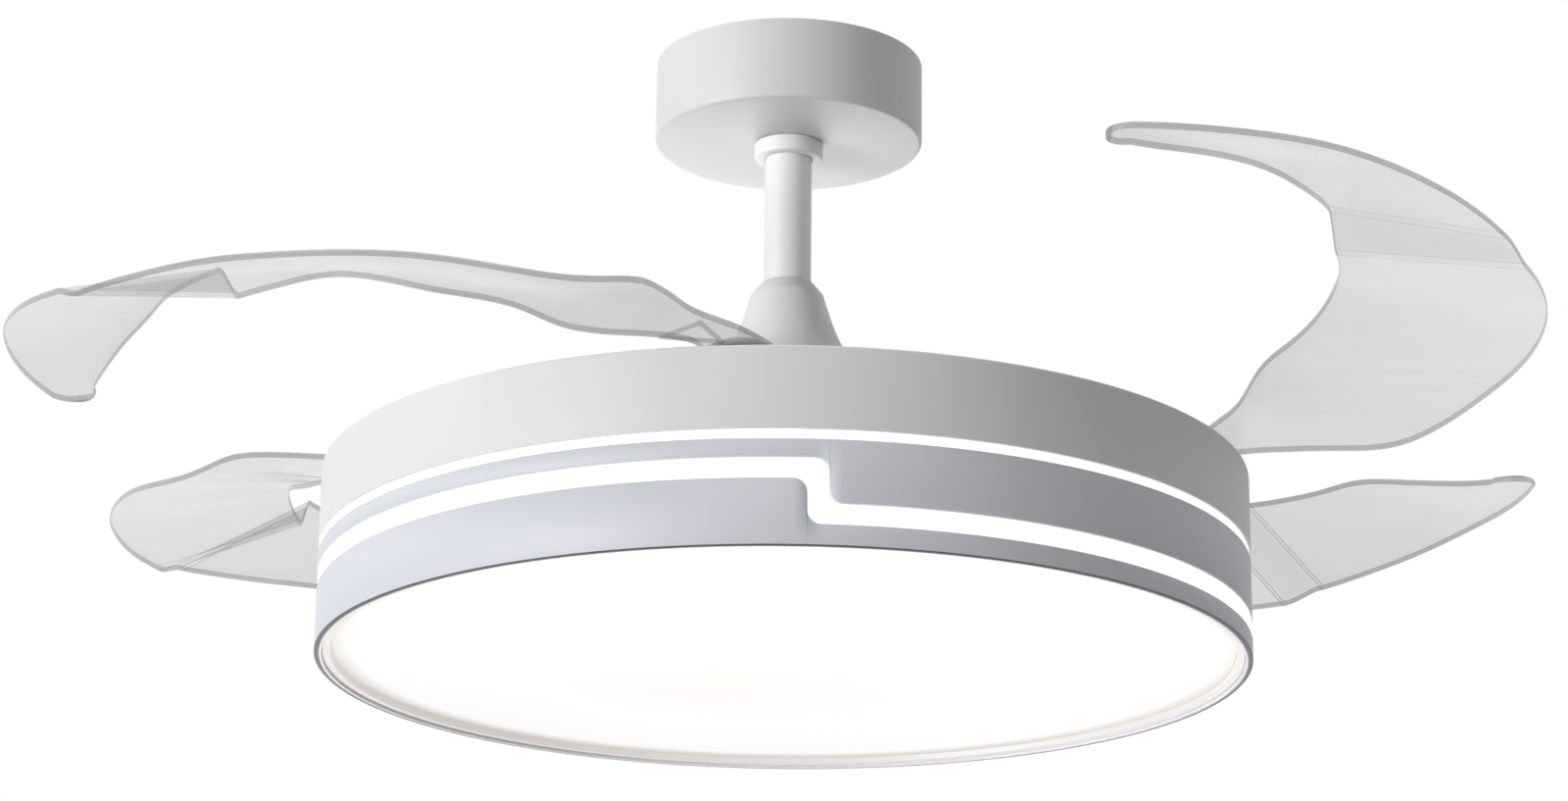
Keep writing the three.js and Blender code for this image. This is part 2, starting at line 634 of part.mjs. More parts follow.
function bladeHub() {
  const bore = POST_RADIUS + SEAT_GAP;
  return revolve([[bore, HUB_FLANGE_BOTTOM], [HUB_FLANGE_RADIUS - 1, HUB_FLANGE_BOTTOM],
    [HUB_FLANGE_RADIUS, HUB_FLANGE_BOTTOM + 1], [HUB_FLANGE_RADIUS, HUB_FLANGE_TOP],
    [HUB_RADIUS, HUB_FLANGE_TOP], [HUB_RADIUS, CLAMP_TOP - SEAT_GAP],
    [bore, CLAMP_TOP - SEAT_GAP]], SMALL_ROUND);
}

function clampRing() {
  return revolve([[HUB_RADIUS + SEAT_GAP, CLAMP_BOTTOM], [CLAMP_RADIUS, CLAMP_BOTTOM],
    [CLAMP_RADIUS, CLAMP_TOP - 0.8], [CLAMP_RADIUS - 0.8, CLAMP_TOP],
    [HUB_RADIUS + SEAT_GAP, CLAMP_TOP]], SMALL_ROUND);
}

function pivotCap() {
  const recess = POST_TOP + SEAT_GAP;
  const bore = POST_RADIUS + 2 * SEAT_GAP;
  const top = CAP_BOTTOM + CAP_HEIGHT;
  return revolve([[0, recess], [bore, recess], [bore, CAP_BOTTOM], [CAP_RADIUS, CAP_BOTTOM],
    [CAP_RADIUS, top - 2], [CAP_RADIUS - 2, top - 0.4], [0, top]], SMALL_ROUND);
}

/** Centre line of the torsion spring, with its legs running off along the last turn. */
class SpringPath extends THREE.Curve {
  constructor(bottom) {
    super();
    this.bottom = bottom;
  }

  getPoint(t, target = new THREE.Vector3()) {
    const angle = 2 * Math.PI * SPRING_TURNS * t;
    return target.set(SPRING_RADIUS * Math.cos(angle), SPRING_RADIUS * Math.sin(angle),
      this.bottom + SPRING_PITCH * SPRING_TURNS * t);
  }
}

const springPath = new SpringPath(CARRIER_TOP + SEAT_GAP + SPRING_WIRE / 2);

/** Least distance between the wire's surface and itself, a quarter turn or more apart. */
function springSelfGap(path) {
  const count = Math.round(SPRING_TURNS * 24);
  const points = path.getPoints(count);
  let least = Infinity;
  points.forEach((p, i) => {
    for (let j = i + 12; j < points.length; j += 1) least = Math.min(least, p.distanceTo(points[j]));
  });
  return least - SPRING_WIRE;
}

function torsionSpring() {
  const section = new THREE.Shape();
  section.absarc(0, 0, SPRING_WIRE / 2, 0, 2 * Math.PI, false);
  return closed(new THREE.ExtrudeGeometry(section, {
    extrudePath: springPath, steps: Math.round(SPRING_TURNS * 8), curveSegments: 3, bevelEnabled: false,
  }));
}

// ---------------------------------------------------------------- blades
/** Smooth line through [angle, value] pairs, as a function of the angle. */
function edgeLine(pairs) {
  const spline = new THREE.SplineCurve(pairs.map(([a, r]) => new THREE.Vector2(a, r)));
  const samples = spline.getPoints(pairs.length * 12);
  return (angle) => {
    const k = samples.findIndex((p) => p.x >= angle);
    if (k <= 0) return samples[k === 0 ? 0 : samples.length - 1].y;
    const [p, q] = [samples[k - 1], samples[k]];
    return p.y + ((q.y - p.y) * (angle - p.x)) / (q.x - p.x);
  };
}

const bladeInner = edgeLine(BLADE_INNER_EDGE);
const bladeRootOuter = edgeLine(BLADE_OUTER_EDGE);
const rootRise = edgeLine(BLADE_ROOT_RISES);
const tipRise = edgeLine(BLADE_TIP_RISES);
const rootPitch = edgeLine(BLADE_ROOT_PITCHES);
const tipPitch = edgeLine(BLADE_TIP_PITCHES);

/** Middle surface of a blade: a pitched root part and a pitched tip part, joined by a step. */
function bladeHeight(angle, radius) {
  const past = smooth(BLADE_FOLD[0], BLADE_FOLD[1], angle);
  const rise = rootRise(angle) + (tipRise(angle) - rootRise(angle)) * past;
  const pitch = rootPitch(angle) + (tipPitch(angle) - rootPitch(angle)) * past;
  return BLADE_ROOT_LEVEL + rise - pitch * (radius - PIVOT_RADIUS);
}

/** Inner and outer radius of the blade's outline at an angle. */
function bladeEdges(angle) {
  if (angle < 0) {
    const along = THREE.MathUtils.degToRad(-angle) * PIVOT_RADIUS;
    const half = Math.sqrt(Math.max(BLADE_ROOT_RADIUS ** 2 - along ** 2, 0));
    return [PIVOT_RADIUS - half, PIVOT_RADIUS + half];
  }
  if (angle > BLADE_TIP_ANGLE) {
    const centre = BLADE_OUTER_RADIUS - BLADE_TIP_RADIUS;
    const along = THREE.MathUtils.degToRad(angle - BLADE_TIP_ANGLE) * centre;
    const half = Math.sqrt(Math.max(BLADE_TIP_RADIUS ** 2 - along ** 2, 0));
    return [centre - half, centre + half];
  }
  const last = BLADE_OUTER_EDGE[BLADE_OUTER_EDGE.length - 1][0];
  const outer = angle < last ? bladeRootOuter(angle) : BLADE_OUTER_REACH;
  return [PIVOT_RADIUS + bladeInner(angle), PIVOT_RADIUS + outer];
}

/** Angles at which the blade's surface is drawn, closer together on bends and round ends. */
function bladeStations() {
  const rootReach = THREE.MathUtils.radToDeg(BLADE_ROOT_RADIUS / PIVOT_RADIUS);
  const tipReach = THREE.MathUtils.radToDeg(
    BLADE_TIP_RADIUS / (BLADE_OUTER_RADIUS - BLADE_TIP_RADIUS));
  const stations = [];
  const endSteps = 4;
  const add = (from, to, steps) => {
    for (let i = 0; i < steps; i += 1) stations.push(from + ((to - from) * i) / steps);
  };
  for (let i = 0; i < endSteps; i += 1) {
    stations.push(-rootReach * Math.cos((Math.PI / 2) * (i / endSteps)));
  }
  const widest = BLADE_OUTER_EDGE[BLADE_OUTER_EDGE.length - 1][0];
  add(0, widest, 9);
  add(widest, BLADE_FOLD[0], 9);
  add(BLADE_FOLD[0], BLADE_FOLD[1], 3);
  add(BLADE_FOLD[1], BLADE_TIP_ANGLE, 9);
  for (let i = 0; i <= endSteps; i += 1) {
    stations.push(BLADE_TIP_ANGLE + tipReach * Math.sin((Math.PI / 2) * (i / endSteps)));
  }
  return stations;
}

/** One folded blade, its pivot on the +X axis, with the hub bore and root ribs. */
function blade() {
  const stations = bladeStations();
  const columns = 2;
  const positions = [];
  for (const side of [-0.5, 0.5]) {
    for (const angle of stations) {
      const [inner, outer] = bladeEdges(angle);
      const turn = THREE.MathUtils.degToRad(-angle);
      for (let j = 0; j <= columns; j += 1) {
        const radius = inner + ((outer - inner) * j) / columns;
        positions.push(radius * Math.cos(turn), radius * Math.sin(turn),
          bladeHeight(angle, radius) + side * BLADE_THICKNESS);
      }
    }
  }
  const width = columns + 1;
  const layer = stations.length * width;
  const index = [];
  const quad = (a, b, c, d) => index.push(a, b, c, a, c, d);
  for (let i = 0; i + 1 < stations.length; i += 1) {
    for (let j = 0; j < columns; j += 1) {
      const a = i * width + j;
      quad(a, a + 1, a + 1 + width, a + width);
      quad(layer + a, layer + a + width, layer + a + 1 + width, layer + a + 1);
    }
    const inner = i * width;
    const outer = inner + columns;
    quad(inner, inner + width, layer + inner + width, layer + inner);
    quad(outer, layer + outer, layer + outer + width, outer + width);
  }
  const end = (stations.length - 1) * width;
  for (let j = 0; j < columns; j += 1) {
    quad(j, layer + j, layer + j + 1, j + 1);
    quad(end + j, end + j + 1, layer + end + j + 1, layer + end + j);
  }
  const sheet = new THREE.BufferGeometry();
  sheet.setAttribute('position', new THREE.Float32BufferAttribute(positions, 3));
  sheet.setIndex(index);
  const bore = cylinder(HUB_RADIUS + SEAT_GAP, BLADE_ROOT_LEVEL - 5, BLADE_ROOT_LEVEL + 5);
  bore.translate(PIVOT_RADIUS, 0, 0);
  return combine(sheet, [rootRib()], [bore]);
}

/** Raised triangular outline moulded under the narrow arm, between the hub and the wide part. */
function rootRib() {
  const [start, end] = BLADE_RIB_ANGLES;
  const [startInner, startOuter] = bladeEdges(start);
  const [endInner, endOuter] = bladeEdges(end);
  const corners = [[start, (startInner + startOuter) / 2], [end, endInner + BLADE_RIB_MARGIN],
    [end, endOuter - BLADE_RIB_MARGIN]];
  const point = ([angle, radius]) => {
    const turn = THREE.MathUtils.degToRad(-angle);
    return new THREE.Vector2(radius * Math.cos(turn), radius * Math.sin(turn));
  };
  const outline = corners.map(point);
  const centre = outline.reduce((sum, p) => sum.add(p), new THREE.Vector2()).divideScalar(3);
  const inset = outline.map((p) => p.clone().sub(centre).multiplyScalar(0.76).add(centre));
  const shape = new THREE.Shape(outline);
  shape.holes.push(new THREE.Path(inset));
  const under = BLADE_ROOT_LEVEL - BLADE_THICKNESS / 2;
  return slab(shape, under - BLADE_RIB_DEPTH, BLADE_ROOT_LEVEL);
}

// ---------------------------------------------------------------- suspension
function ceilingBracket() {
  const half = BRACKET_WIDTH / 2;
  const inner = half - BRACKET_PLATE;
  const seatTop = -BRACKET_DROP + BRACKET_SEAT;
  const loop = new THREE.Shape([[-half, 0], [-half, -BRACKET_DROP], [half, -BRACKET_DROP],
    [half, 0]].map(([x, z]) => new THREE.Vector2(x, z)));
  loop.holes.push(new THREE.Path([[-inner, -BRACKET_PLATE], [inner, -BRACKET_PLATE],
    [inner, seatTop], [-inner, seatTop]].map(([x, z]) => new THREE.Vector2(x, z))));
  const strap = slab(loop, -BRACKET_DEPTH / 2, BRACKET_DEPTH / 2);
  strap.rotateX(Math.PI / 2);
  strap.translate(0, 0, OVERALL_HEIGHT);
  const socket = new THREE.SphereGeometry(BALL_RADIUS + SEAT_GAP, 16, 12);
  socket.rotateX(Math.PI / 2);
  socket.translate(0, 0, BALL_CENTRE);
  const slots = [-1, 1].map((side) => {
    const slot = slab(roundedRectangle(12, 6, 2.9), OVERALL_HEIGHT - 6, OVERALL_HEIGHT + 1, 4);
    slot.translate(side * (half - 12), 0, 0);
    return slot;
  });
  return cut(strap, socket, ...slots);
}

function hangerBall() {
  const ball = new THREE.SphereGeometry(BALL_RADIUS, 16, 12);
  ball.rotateX(Math.PI / 2);
  ball.translate(0, 0, BALL_CENTRE);
  const above = cylinder(BALL_RADIUS + 2, BALL_CENTRE + BALL_RADIUS * 0.6, BALL_CENTRE + 40);
  const bore = cylinder(ROD_RADIUS + SEAT_GAP, BALL_CENTRE - 40, BALL_CENTRE + 40, ROD_ROUND);
  return cut(ball, above, bore, crossCylinder(PIN_RADIUS + SEAT_GAP, 4 * BALL_RADIUS, BALL_CENTRE));
}

/** Pin through the rod at a height, as long as given. */
function crossPin(length, height) {
  return crossCylinder(PIN_RADIUS, length, height);
}

function downrod() {
  const tube = ring(ROD_RADIUS - ROD_WALL, ROD_RADIUS, ROD_BOTTOM, ROD_TOP, ROD_ROUND);
  const lower = crossCylinder(PIN_RADIUS + SEAT_GAP, 4 * ROD_RADIUS, ROD_BOTTOM + 10);
  return cut(tube, lower, crossCylinder(PIN_RADIUS + SEAT_GAP, 4 * BALL_RADIUS, BALL_CENTRE));
}

function canopy() {
  const bottom = CANOPY_BOTTOM;
  const top = OVERALL_HEIGHT - SEAT_GAP;
  const corner = CANOPY_RADIUS - CANOPY_CORNER;
  const hole = ROD_RADIUS + 2;
  return revolve([[hole, bottom], ...arc(corner, bottom + CANOPY_CORNER, CANOPY_CORNER, -90, 0, 3),
    [CANOPY_RADIUS, top], [CANOPY_RADIUS - CANOPY_WALL, top],
    [CANOPY_RADIUS - CANOPY_WALL, bottom + CANOPY_CORNER], [corner, bottom + CANOPY_WALL],
    [hole, bottom + CANOPY_WALL]]);
}

function lockingCollar() {
  const top = CANOPY_BOTTOM - SEAT_GAP;
  const bottom = top - COLLAR_HEIGHT;
  const bore = ROD_RADIUS + SEAT_GAP;
  const body = revolve([[bore, bottom], [COLLAR_RADIUS - 1.5, bottom], [COLLAR_RADIUS, bottom + 1.5],
    [COLLAR_RADIUS, top], [bore, top]], ROD_ROUND);
  const thread = crossCylinder(1.8 + SEAT_GAP, 20, (top + bottom) / 2, 12);
  thread.rotateZ(Math.PI / 2);
  thread.translate(0, COLLAR_RADIUS, 0);
  return cut(body, thread);
}

function collarScrew() {
  const middle = CANOPY_BOTTOM - SEAT_GAP - COLLAR_HEIGHT / 2;
  const length = COLLAR_RADIUS - ROD_RADIUS - 2 * SEAT_GAP;
  const screw = crossCylinder(1.8, length, middle, 12);
  screw.rotateZ(Math.PI / 2);
  screw.translate(0, ROD_RADIUS + SEAT_GAP + length / 2, 0);
  return screw;
}

function bellCover() {
  const hole = ROD_RADIUS + SEAT_GAP;
  const neck = BELL_TOP - BELL_CHAMFER;
  const flare = [];
  const steps = 4;
  for (let i = 0; i <= steps; i += 1) {
    const t = i / steps;
    const spread = 0.55 * t + 0.45 * t ** 4;
    flare.push([BELL_NECK_RADIUS + (BELL_MOUTH_RADIUS - BELL_NECK_RADIUS) * spread,
      neck + (BELL_BOTTOM - neck) * t]);
  }
  const inside = flare.map(([r, z]) => [r - BELL_WALL, z]).reverse();
  return revolve([[hole, BELL_TOP], ...flare, ...inside, [hole, BELL_TOP - BELL_WALL - 1]]);
}

function coupling() {
  const top = COUPLING_BOTTOM + COUPLING_HEIGHT;
  const body = cylinder(COUPLING_RADIUS, COUPLING_BOTTOM, top, ROD_ROUND);
  const socket = cylinder(ROD_RADIUS + SEAT_GAP, ROD_BOTTOM - SEAT_GAP, top + 1, ROD_ROUND);
  const shaftBore = cylinder(SHAFT_RADIUS + SEAT_GAP, COUPLING_BOTTOM - 1, SHAFT_TOP + SEAT_GAP);
  const wireWay = cylinder(SHAFT_BORE, COUPLING_BOTTOM, top, 16);
  return cut(body, socket, shaftBore, wireWay,
    crossCylinder(PIN_RADIUS + SEAT_GAP, 4 * ROD_RADIUS, ROD_BOTTOM + 10),
    crossCylinder(PIN_RADIUS + SEAT_GAP, 60, COUPLING_BOTTOM + 8));
}

// ---------------------------------------------------------------- assembly
/** Adds a named mesh to a group. */
function place(group, name, geometry, material) {
  const mesh = new THREE.Mesh(geometry, material);
  mesh.name = name;
  group.add(mesh);
  return mesh;
}

const shaftWithPin = () => cut(fixedShaft(),
  crossCylinder(PIN_RADIUS + SEAT_GAP, 60, COUPLING_BOTTOM + 8));

function suspension() {
  const group = new THREE.Group();
  place(group, 'ceiling_bracket', ceilingBracket(), steel);
  place(group, 'hanger_ball', hangerBall(), blackPlastic);
  place(group, 'hanger_pin', crossPin(2 * BALL_RADIUS - 4, BALL_CENTRE), steel);
  place(group, 'canopy', canopy(), whitePaint);
  place(group, 'canopy_collar', lockingCollar(), whitePaint);
  place(group, 'collar_screw', collarScrew(), steel);
  place(group, 'downrod', downrod(), whitePaint);
  place(group, 'bell_cover', bellCover(), whitePaint);
  place(group, 'coupling', coupling(), darkSteel);
  place(group, 'rod_pin', crossPin(2 * COUPLING_RADIUS, ROD_BOTTOM + 10), steel);
  place(group, 'shaft_pin', crossPin(2 * COUPLING_RADIUS, COUPLING_BOTTOM + 8), steel);
  place(group, 'fixed_shaft', shaftWithPin(), steel);
  return group;
}

function stator() {
  const group = new THREE.Group();
  const half = STATOR_HEIGHT / 2;
  place(group, 'stator_core', statorCore(), darkSteel);
  place(group, 'winding_upper', windingRing(MOTOR_MIDDLE + half + SEAT_GAP), copper);
  place(group, 'winding_lower',
    windingRing(MOTOR_MIDDLE - half - SEAT_GAP - WINDING_HEIGHT), copper);
  return group;
}

function lamp() {
  const group = new THREE.Group();
  place(group, 'shaft_nut', shaftNut(), steel);
  place(group, 'lamp_chassis', chassisPlate(), whitePaint);
  place(group, 'lamp_frame', lampFrame(), whitePaint);
  place(group, 'drum_upper_ring', upperRing(), whitePaint);
  place(group, 'thin_light_ring', thinLightRing(), opal);
  place(group, 'drum_middle_band', middleBand(), greyPaint);
  place(group, 'stepped_light_band', steppedLightBand(), opal);
  place(group, 'drum_lower_band', lowerBand(), greyPaint);
  place(group, 'bottom_diffuser', bottomDiffuser(), opal);
  place(group, 'reflector_pan', reflectorPan(), whitePaint);
  place(group, 'led_board', ledBoard(), whitePlastic);
  place(group, 'side_led_strip', sideLedStrip(), whitePlastic);
  place(group, 'led_driver', electronicsBox(DRIVER_SIZE), whitePlastic).position.x = -BOX_OFFSET;
  place(group, 'receiver_box', electronicsBox(RECEIVER_SIZE), blackPlastic).position.x = BOX_OFFSET;
  return group;
}

/** Everything that swings with one blade, opened to its angle about the pivot. */
function bladeSet(number, openDegrees) {
  const pivot = new THREE.Group();
  pivot.position.x = PIVOT_RADIUS;
  pivot.rotation.z = THREE.MathUtils.degToRad(openDegrees);
  place(pivot, `blade_${number}`, blade(), clearPlastic).position.x = -PIVOT_RADIUS;
  place(pivot, `blade_hub_${number}`, bladeHub(), whitePlastic);
  place(pivot, `blade_clamp_${number}`, clampRing(), whitePlastic);
  place(pivot, `pivot_cap_${number}`, pivotCap(), whitePlastic);
  return pivot;
}

function rotor() {
  const group = new THREE.Group();
  group.rotation.z = THREE.MathUtils.degToRad(ROTOR_PHASE);
  place(group, 'bearing_lower', bearing(MOTOR_BOTTOM + 0.2), steel);
  place(group, 'bearing_upper', bearing(MOTOR_TOP - BEARING_HEIGHT - 0.2), steel);
  place(group, 'motor_housing_lower', motorHousing(true), aluminium);
  place(group, 'motor_housing_upper', motorHousing(false), aluminium);
  place(group, 'magnet_ring', magnetRing(), darkSteel);
  place(group, 'blade_carrier', bladeCarrier(), whitePaint);
  place(group, 'rotor_cover', rotorCover(), whitePaint);
  BLADE_OPEN_ANGLES.forEach((openDegrees, i) => {
    const quarter = new THREE.Group();
    quarter.rotation.z = (-Math.PI / 2) * i;
    place(quarter, `pivot_post_${i + 1}`, pivotPost(), steel).position.x = PIVOT_RADIUS;
    place(quarter, `return_spring_${i + 1}`, torsionSpring(), steel).position.x = PIVOT_RADIUS;
    quarter.add(bladeSet(i + 1, openDegrees));
    group.add(quarter);
  });
  return group;
}

const fan = new THREE.Group();
fan.add(suspension(), stator(), lamp(), rotor());
fan.position.z = -OVERALL_HEIGHT;
const group = new THREE.Group();
group.add(fan);

console.log(`return spring: least gap to itself ${springSelfGap(springPath).toFixed(2)} mm`);

export default group;
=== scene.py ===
"""Dressed model of a ceiling fan with clear swinging blades above a round LED lamp."""

import json
import logging
import math
from dataclasses import dataclass, field
from enum import Enum
from functools import cache
from typing import Any, Iterable, Mapping, Sequence, Union

import bmesh
import bpy
from mathutils import Matrix, Vector


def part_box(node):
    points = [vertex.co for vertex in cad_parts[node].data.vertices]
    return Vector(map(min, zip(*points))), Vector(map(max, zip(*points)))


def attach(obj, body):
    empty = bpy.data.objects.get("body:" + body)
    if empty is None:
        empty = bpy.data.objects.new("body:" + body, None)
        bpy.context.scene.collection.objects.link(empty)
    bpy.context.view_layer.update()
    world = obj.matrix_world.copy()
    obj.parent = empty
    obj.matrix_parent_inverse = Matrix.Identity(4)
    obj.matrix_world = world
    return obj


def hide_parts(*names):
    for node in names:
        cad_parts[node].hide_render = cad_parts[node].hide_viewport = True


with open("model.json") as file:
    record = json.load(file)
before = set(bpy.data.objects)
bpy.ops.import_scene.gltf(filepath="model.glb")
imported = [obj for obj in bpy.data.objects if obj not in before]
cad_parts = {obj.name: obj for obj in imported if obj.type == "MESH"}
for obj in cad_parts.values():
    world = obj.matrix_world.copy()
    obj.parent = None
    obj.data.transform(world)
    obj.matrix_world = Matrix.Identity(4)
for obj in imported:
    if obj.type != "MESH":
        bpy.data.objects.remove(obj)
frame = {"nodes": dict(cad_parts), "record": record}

LOG = logging.getLogger("ceiling_fan")
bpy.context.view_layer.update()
DRUM_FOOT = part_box("drum_lower_band")[0].z

Colour = tuple[float, float, float]
Point = tuple[float, float]
Line = tuple[Point, ...]


# ---- shader expressions
@dataclass(frozen=True)
class Flow:
    """A shader socket's value, on which Python arithmetic adds Math nodes."""

    bench: "Bench"
    socket: bpy.types.NodeSocket | None

    def _maths(self, operation: str, first: Any, second: Any, clamp: bool = False) -> "Flow":
        """Adds one Math node.

        Args:
            operation: Blender's name of the operation.
            first: Left-hand value or flow.
            second: Right-hand value or flow.
            clamp: Whether the result is held between 0 and 1.

        Returns:
            The result as a flow.
        """
        settings = {"operation": operation, "use_clamp": clamp}
        return self.bench.add("ShaderNodeMath", settings, {0: first, 1: second})

    def __add__(self, other: Any) -> "Flow":
        """Sum."""
        return self._maths("ADD", self, other)

    def __radd__(self, other: Any) -> "Flow":
        """Sum with a number on the left."""
        return self._maths("ADD", other, self)

    def __sub__(self, other: Any) -> "Flow":
        """Difference."""
        return self._maths("SUBTRACT", self, other)

    def __rmul__(self, other: Any) -> "Flow":
        """Product with a number on the left."""
        return self._maths("MULTIPLY", other, self)

    def clamped(self) -> "Flow":
        """The value held between 0 and 1."""
        return self._maths("ADD", self, 0.0, clamp=True)

    def larger(self, other: Any) -> "Flow":
        """The larger of this and another value."""
        return self._maths("MAXIMUM", self, other)


class Bench:
    """Builds one node tree, for a material or for the world."""

    def __init__(self, owner: Union[bpy.types.Material, bpy.types.World]) -> None:
        """Empties the owner's node tree.

        Args:
            owner: The material or world whose nodes are made.
        """
        owner.use_nodes = True
        self.tree = owner.node_tree
        self.tree.nodes.clear()

    def add(self, kind: str, settings: Mapping[str, Any], inputs: Mapping[Any, Any],
            output: Union[int, str] = 0) -> Flow:
        """Adds a node of any kind.

        Args:
            kind: The node's type name.
            settings: Properties to set first; "stops" gives a colour ramp's stops.
            inputs: Values or flows for its sockets, by name or number.
            output: The socket that is handed back.

        Returns:
            The chosen output as a flow.
        """
        node = self.tree.nodes.new(kind)
        for name, value in settings.items():
            if name == "stops":
                self._set_stops(node.color_ramp, value)
            else:
                setattr(node, name, value)
        for key, value in inputs.items():
            if isinstance(value, Flow):
                self.tree.links.new(value.socket, node.inputs[key])
            else:
                node.inputs[key].default_value = value
        return Flow(self, node.outputs[output]) if len(node.outputs) else Flow(self, None)

    @staticmethod
    def _set_stops(ramp: bpy.types.ColorRamp, stops: Sequence[tuple[float, Colour]]) -> None:
        """Sets a ramp's stops.

        Args:
            ramp: The ramp to change.
            stops: Position and colour of each stop, in order.
        """
        while len(ramp.elements) < len(stops):
            ramp.elements.new(0.5)
        for element, (position, colour) in zip(ramp.elements, stops):
            element.position = position
            element.color = (*colour, 1.0)

    def place(self) -> Flow:
        """The object's own coordinates in metres."""
        return self.add("ShaderNodeTexCoord", {}, {}, "Object")

    def stretched(self, scale: Colour) -> Flow:
        """The object's coordinates, scaled by a factor along each axis."""
        return self.add("ShaderNodeMapping", {}, {"Vector": self.place(), "Scale": scale})

    def noise(self, scale: float, detail: float = 3.0, vector: Flow | None = None) -> Flow:
        """Cloudy noise between 0 and 1.

        Args:
            scale: Cells per metre.
            detail: Octaves of finer noise.
            vector: Coordinates to use instead of the object's own.

        Returns:
            The noise value.
        """
        where = vector if vector is not None else self.place()
        return self.add("ShaderNodeTexNoise", {},
                        {"Vector": where, "Scale": scale, "Detail": detail, "Roughness": 0.55})

    def blend(self, first: Any, second: Any, factor: Flow) -> Flow:
        """Mixes two colours.

        Args:
            first: Colour at factor 0, as a tuple or a flow.
            second: Colour at factor 1, as a tuple or a flow.
            factor: The share of the second.

        Returns:
            The mixed colour.
        """
        def four(value: Any) -> Any:
            """A colour with its alpha, or the flow itself."""
            return value if isinstance(value, Flow) else (*value, 1.0)
        return self.add("ShaderNodeMix", {"data_type": "RGBA"},
                        {"Factor": factor, 6: four(first), 7: four(second)}, 2)

    def bump(self, height: Flow, depth: float, strength: float = 0.6) -> Flow:
        """The surface normal, bent by a height of which 1 means a depth in metres."""
        return self.add("ShaderNodeBump", {},
                        {"Height": height, "Distance": depth, "Strength": strength})

    def seen_by(self, *kinds: str) -> Flow:
        """Tells rays of some kinds from all others.

        Args:
            *kinds: Names of Light Path outputs.

        Returns:
            1 for a ray of one of the kinds, otherwise 0.
        """
        path = self.tree.nodes.new("ShaderNodeLightPath")
        seen = Flow(self, path.outputs[kinds[0]])
        for kind in kinds[1:]:
            seen = seen.larger(Flow(self, path.outputs[kind]))
        return seen


def tinted(colour: Colour, factor: float) -> Colour:
    """A colour multiplied by a number."""
    return (colour[0] * factor, colour[1] * factor, colour[2] * factor)


# ---- finishes
class Finish:
    """A finish, given by what feeds its shader."""

    def feeds(self, bench: Bench) -> dict[str, Any]:
        """What feeds the shader's sockets.

        Args:
            bench: Makes the nodes.

        Returns:
            A value or a flow for each named socket.
        """
        raise NotImplementedError

    def build(self, name: str) -> bpy.types.Material:
        """Makes the material.

        Args:
            name: The material's name.

        Returns:
            The material.
        """
        material = bpy.data.materials.new(name)
        bench = Bench(material)
        shader = bench.add("ShaderNodeBsdfPrincipled", {}, self.feeds(bench))
        bench.add("ShaderNodeOutputMaterial", {}, {"Surface": shader})
        return material


@dataclass(frozen=True)
class PaintedShell(Finish):
    """Satin paint with a faint cloudiness and the fine skin of sprayed paint."""

    colour: Colour
    roughness: float = 0.5
    shade: float = 0.955
    cloud: Point = (7.0, 4.0)
    grain: Point = (1400.0, 2.0)
    grain_depth: float = 0.00002

    def feeds(self, bench: Bench) -> dict[str, Any]:
        """Cloudy colour over a fine grain.

        Args:
            bench: Makes the nodes.

        Returns:
            The shader's inputs.
        """
        cloud, grain = bench.noise(*self.cloud), bench.noise(*self.grain)
        return {"Base Color": bench.blend(self.colour, tinted(self.colour, self.shade), cloud),
                "Roughness": self.roughness + 0.1 * (cloud - 0.5),
                "Normal": bench.bump(grain, self.grain_depth)}


@dataclass(frozen=True)
class GlowingOpal(Finish):
    """Milky plastic lit from behind, warmer in the middle and dimmer at its rim; the holder's glow
    is painted light.
    """

    middle: Colour = (0.56, 0.53, 0.51)
    main: Colour = (0.64, 0.64, 0.635)
    rim: Colour = (0.42, 0.385, 0.36)
    rim_radius: float = 0.2411
    rim_width: float = 0.012
    body: Colour = (0.34, 0.34, 0.34)

    def feeds(self, bench: Bench) -> dict[str, Any]:
        """Milky body, with light that changes from the rim inward.

        Args:
            bench: Makes the nodes.

        Returns:
            The shader's inputs.
        """
        cloud = bench.noise(9.0, 2.0)
        scale = 1 / self.rim_radius
        inward = bench.add("ShaderNodeTexGradient", {"gradient_type": "SPHERICAL"},
                           {"Vector": bench.stretched((scale, scale, 0.0))}, 1)
        light = bench.add("ShaderNodeValToRGB", {"stops": (
            (0.0, self.rim), (self.rim_width * scale, self.main), (0.35, self.main),
            (0.8, self.middle))}, {"Fac": inward})
        return {"Base Color": bench.blend(self.body, tinted(self.body, 0.94), cloud),
                "Roughness": 0.4 + 0.1 * cloud, "Emission Color": light,
                "Emission Strength": 1.0}


@dataclass(frozen=True)
class ClearSheet(Finish):
    """Clear moulded plastic sheet: see-through, faintly streaked along its flow lines."""

    colour: Colour
    density: float
    streak: float = 0.05
    roughness: float = 0.12

    def feeds(self, bench: Bench) -> dict[str, Any]:
        """Thin colour whose density varies with the streaks.

        Args:
            bench: Makes the nodes.

        Returns:
            The shader's inputs.
        """
        cloud = bench.noise(11.0, 3.0)
        flow = bench.noise(3.0, 3.0, bench.stretched((4.0, 22.0, 60.0)))
        density = (self.density + self.streak * (flow - 0.5) + 0.06 * (cloud - 0.5)).clamped()
        return {"Base Color": bench.blend(self.colour, tinted(self.colour, 0.9), cloud),
                "Roughness": self.roughness + 0.06 * cloud, "Alpha": density, "IOR": 1.49,
                "Normal": bench.bump(flow, 0.0002, 0.3)}


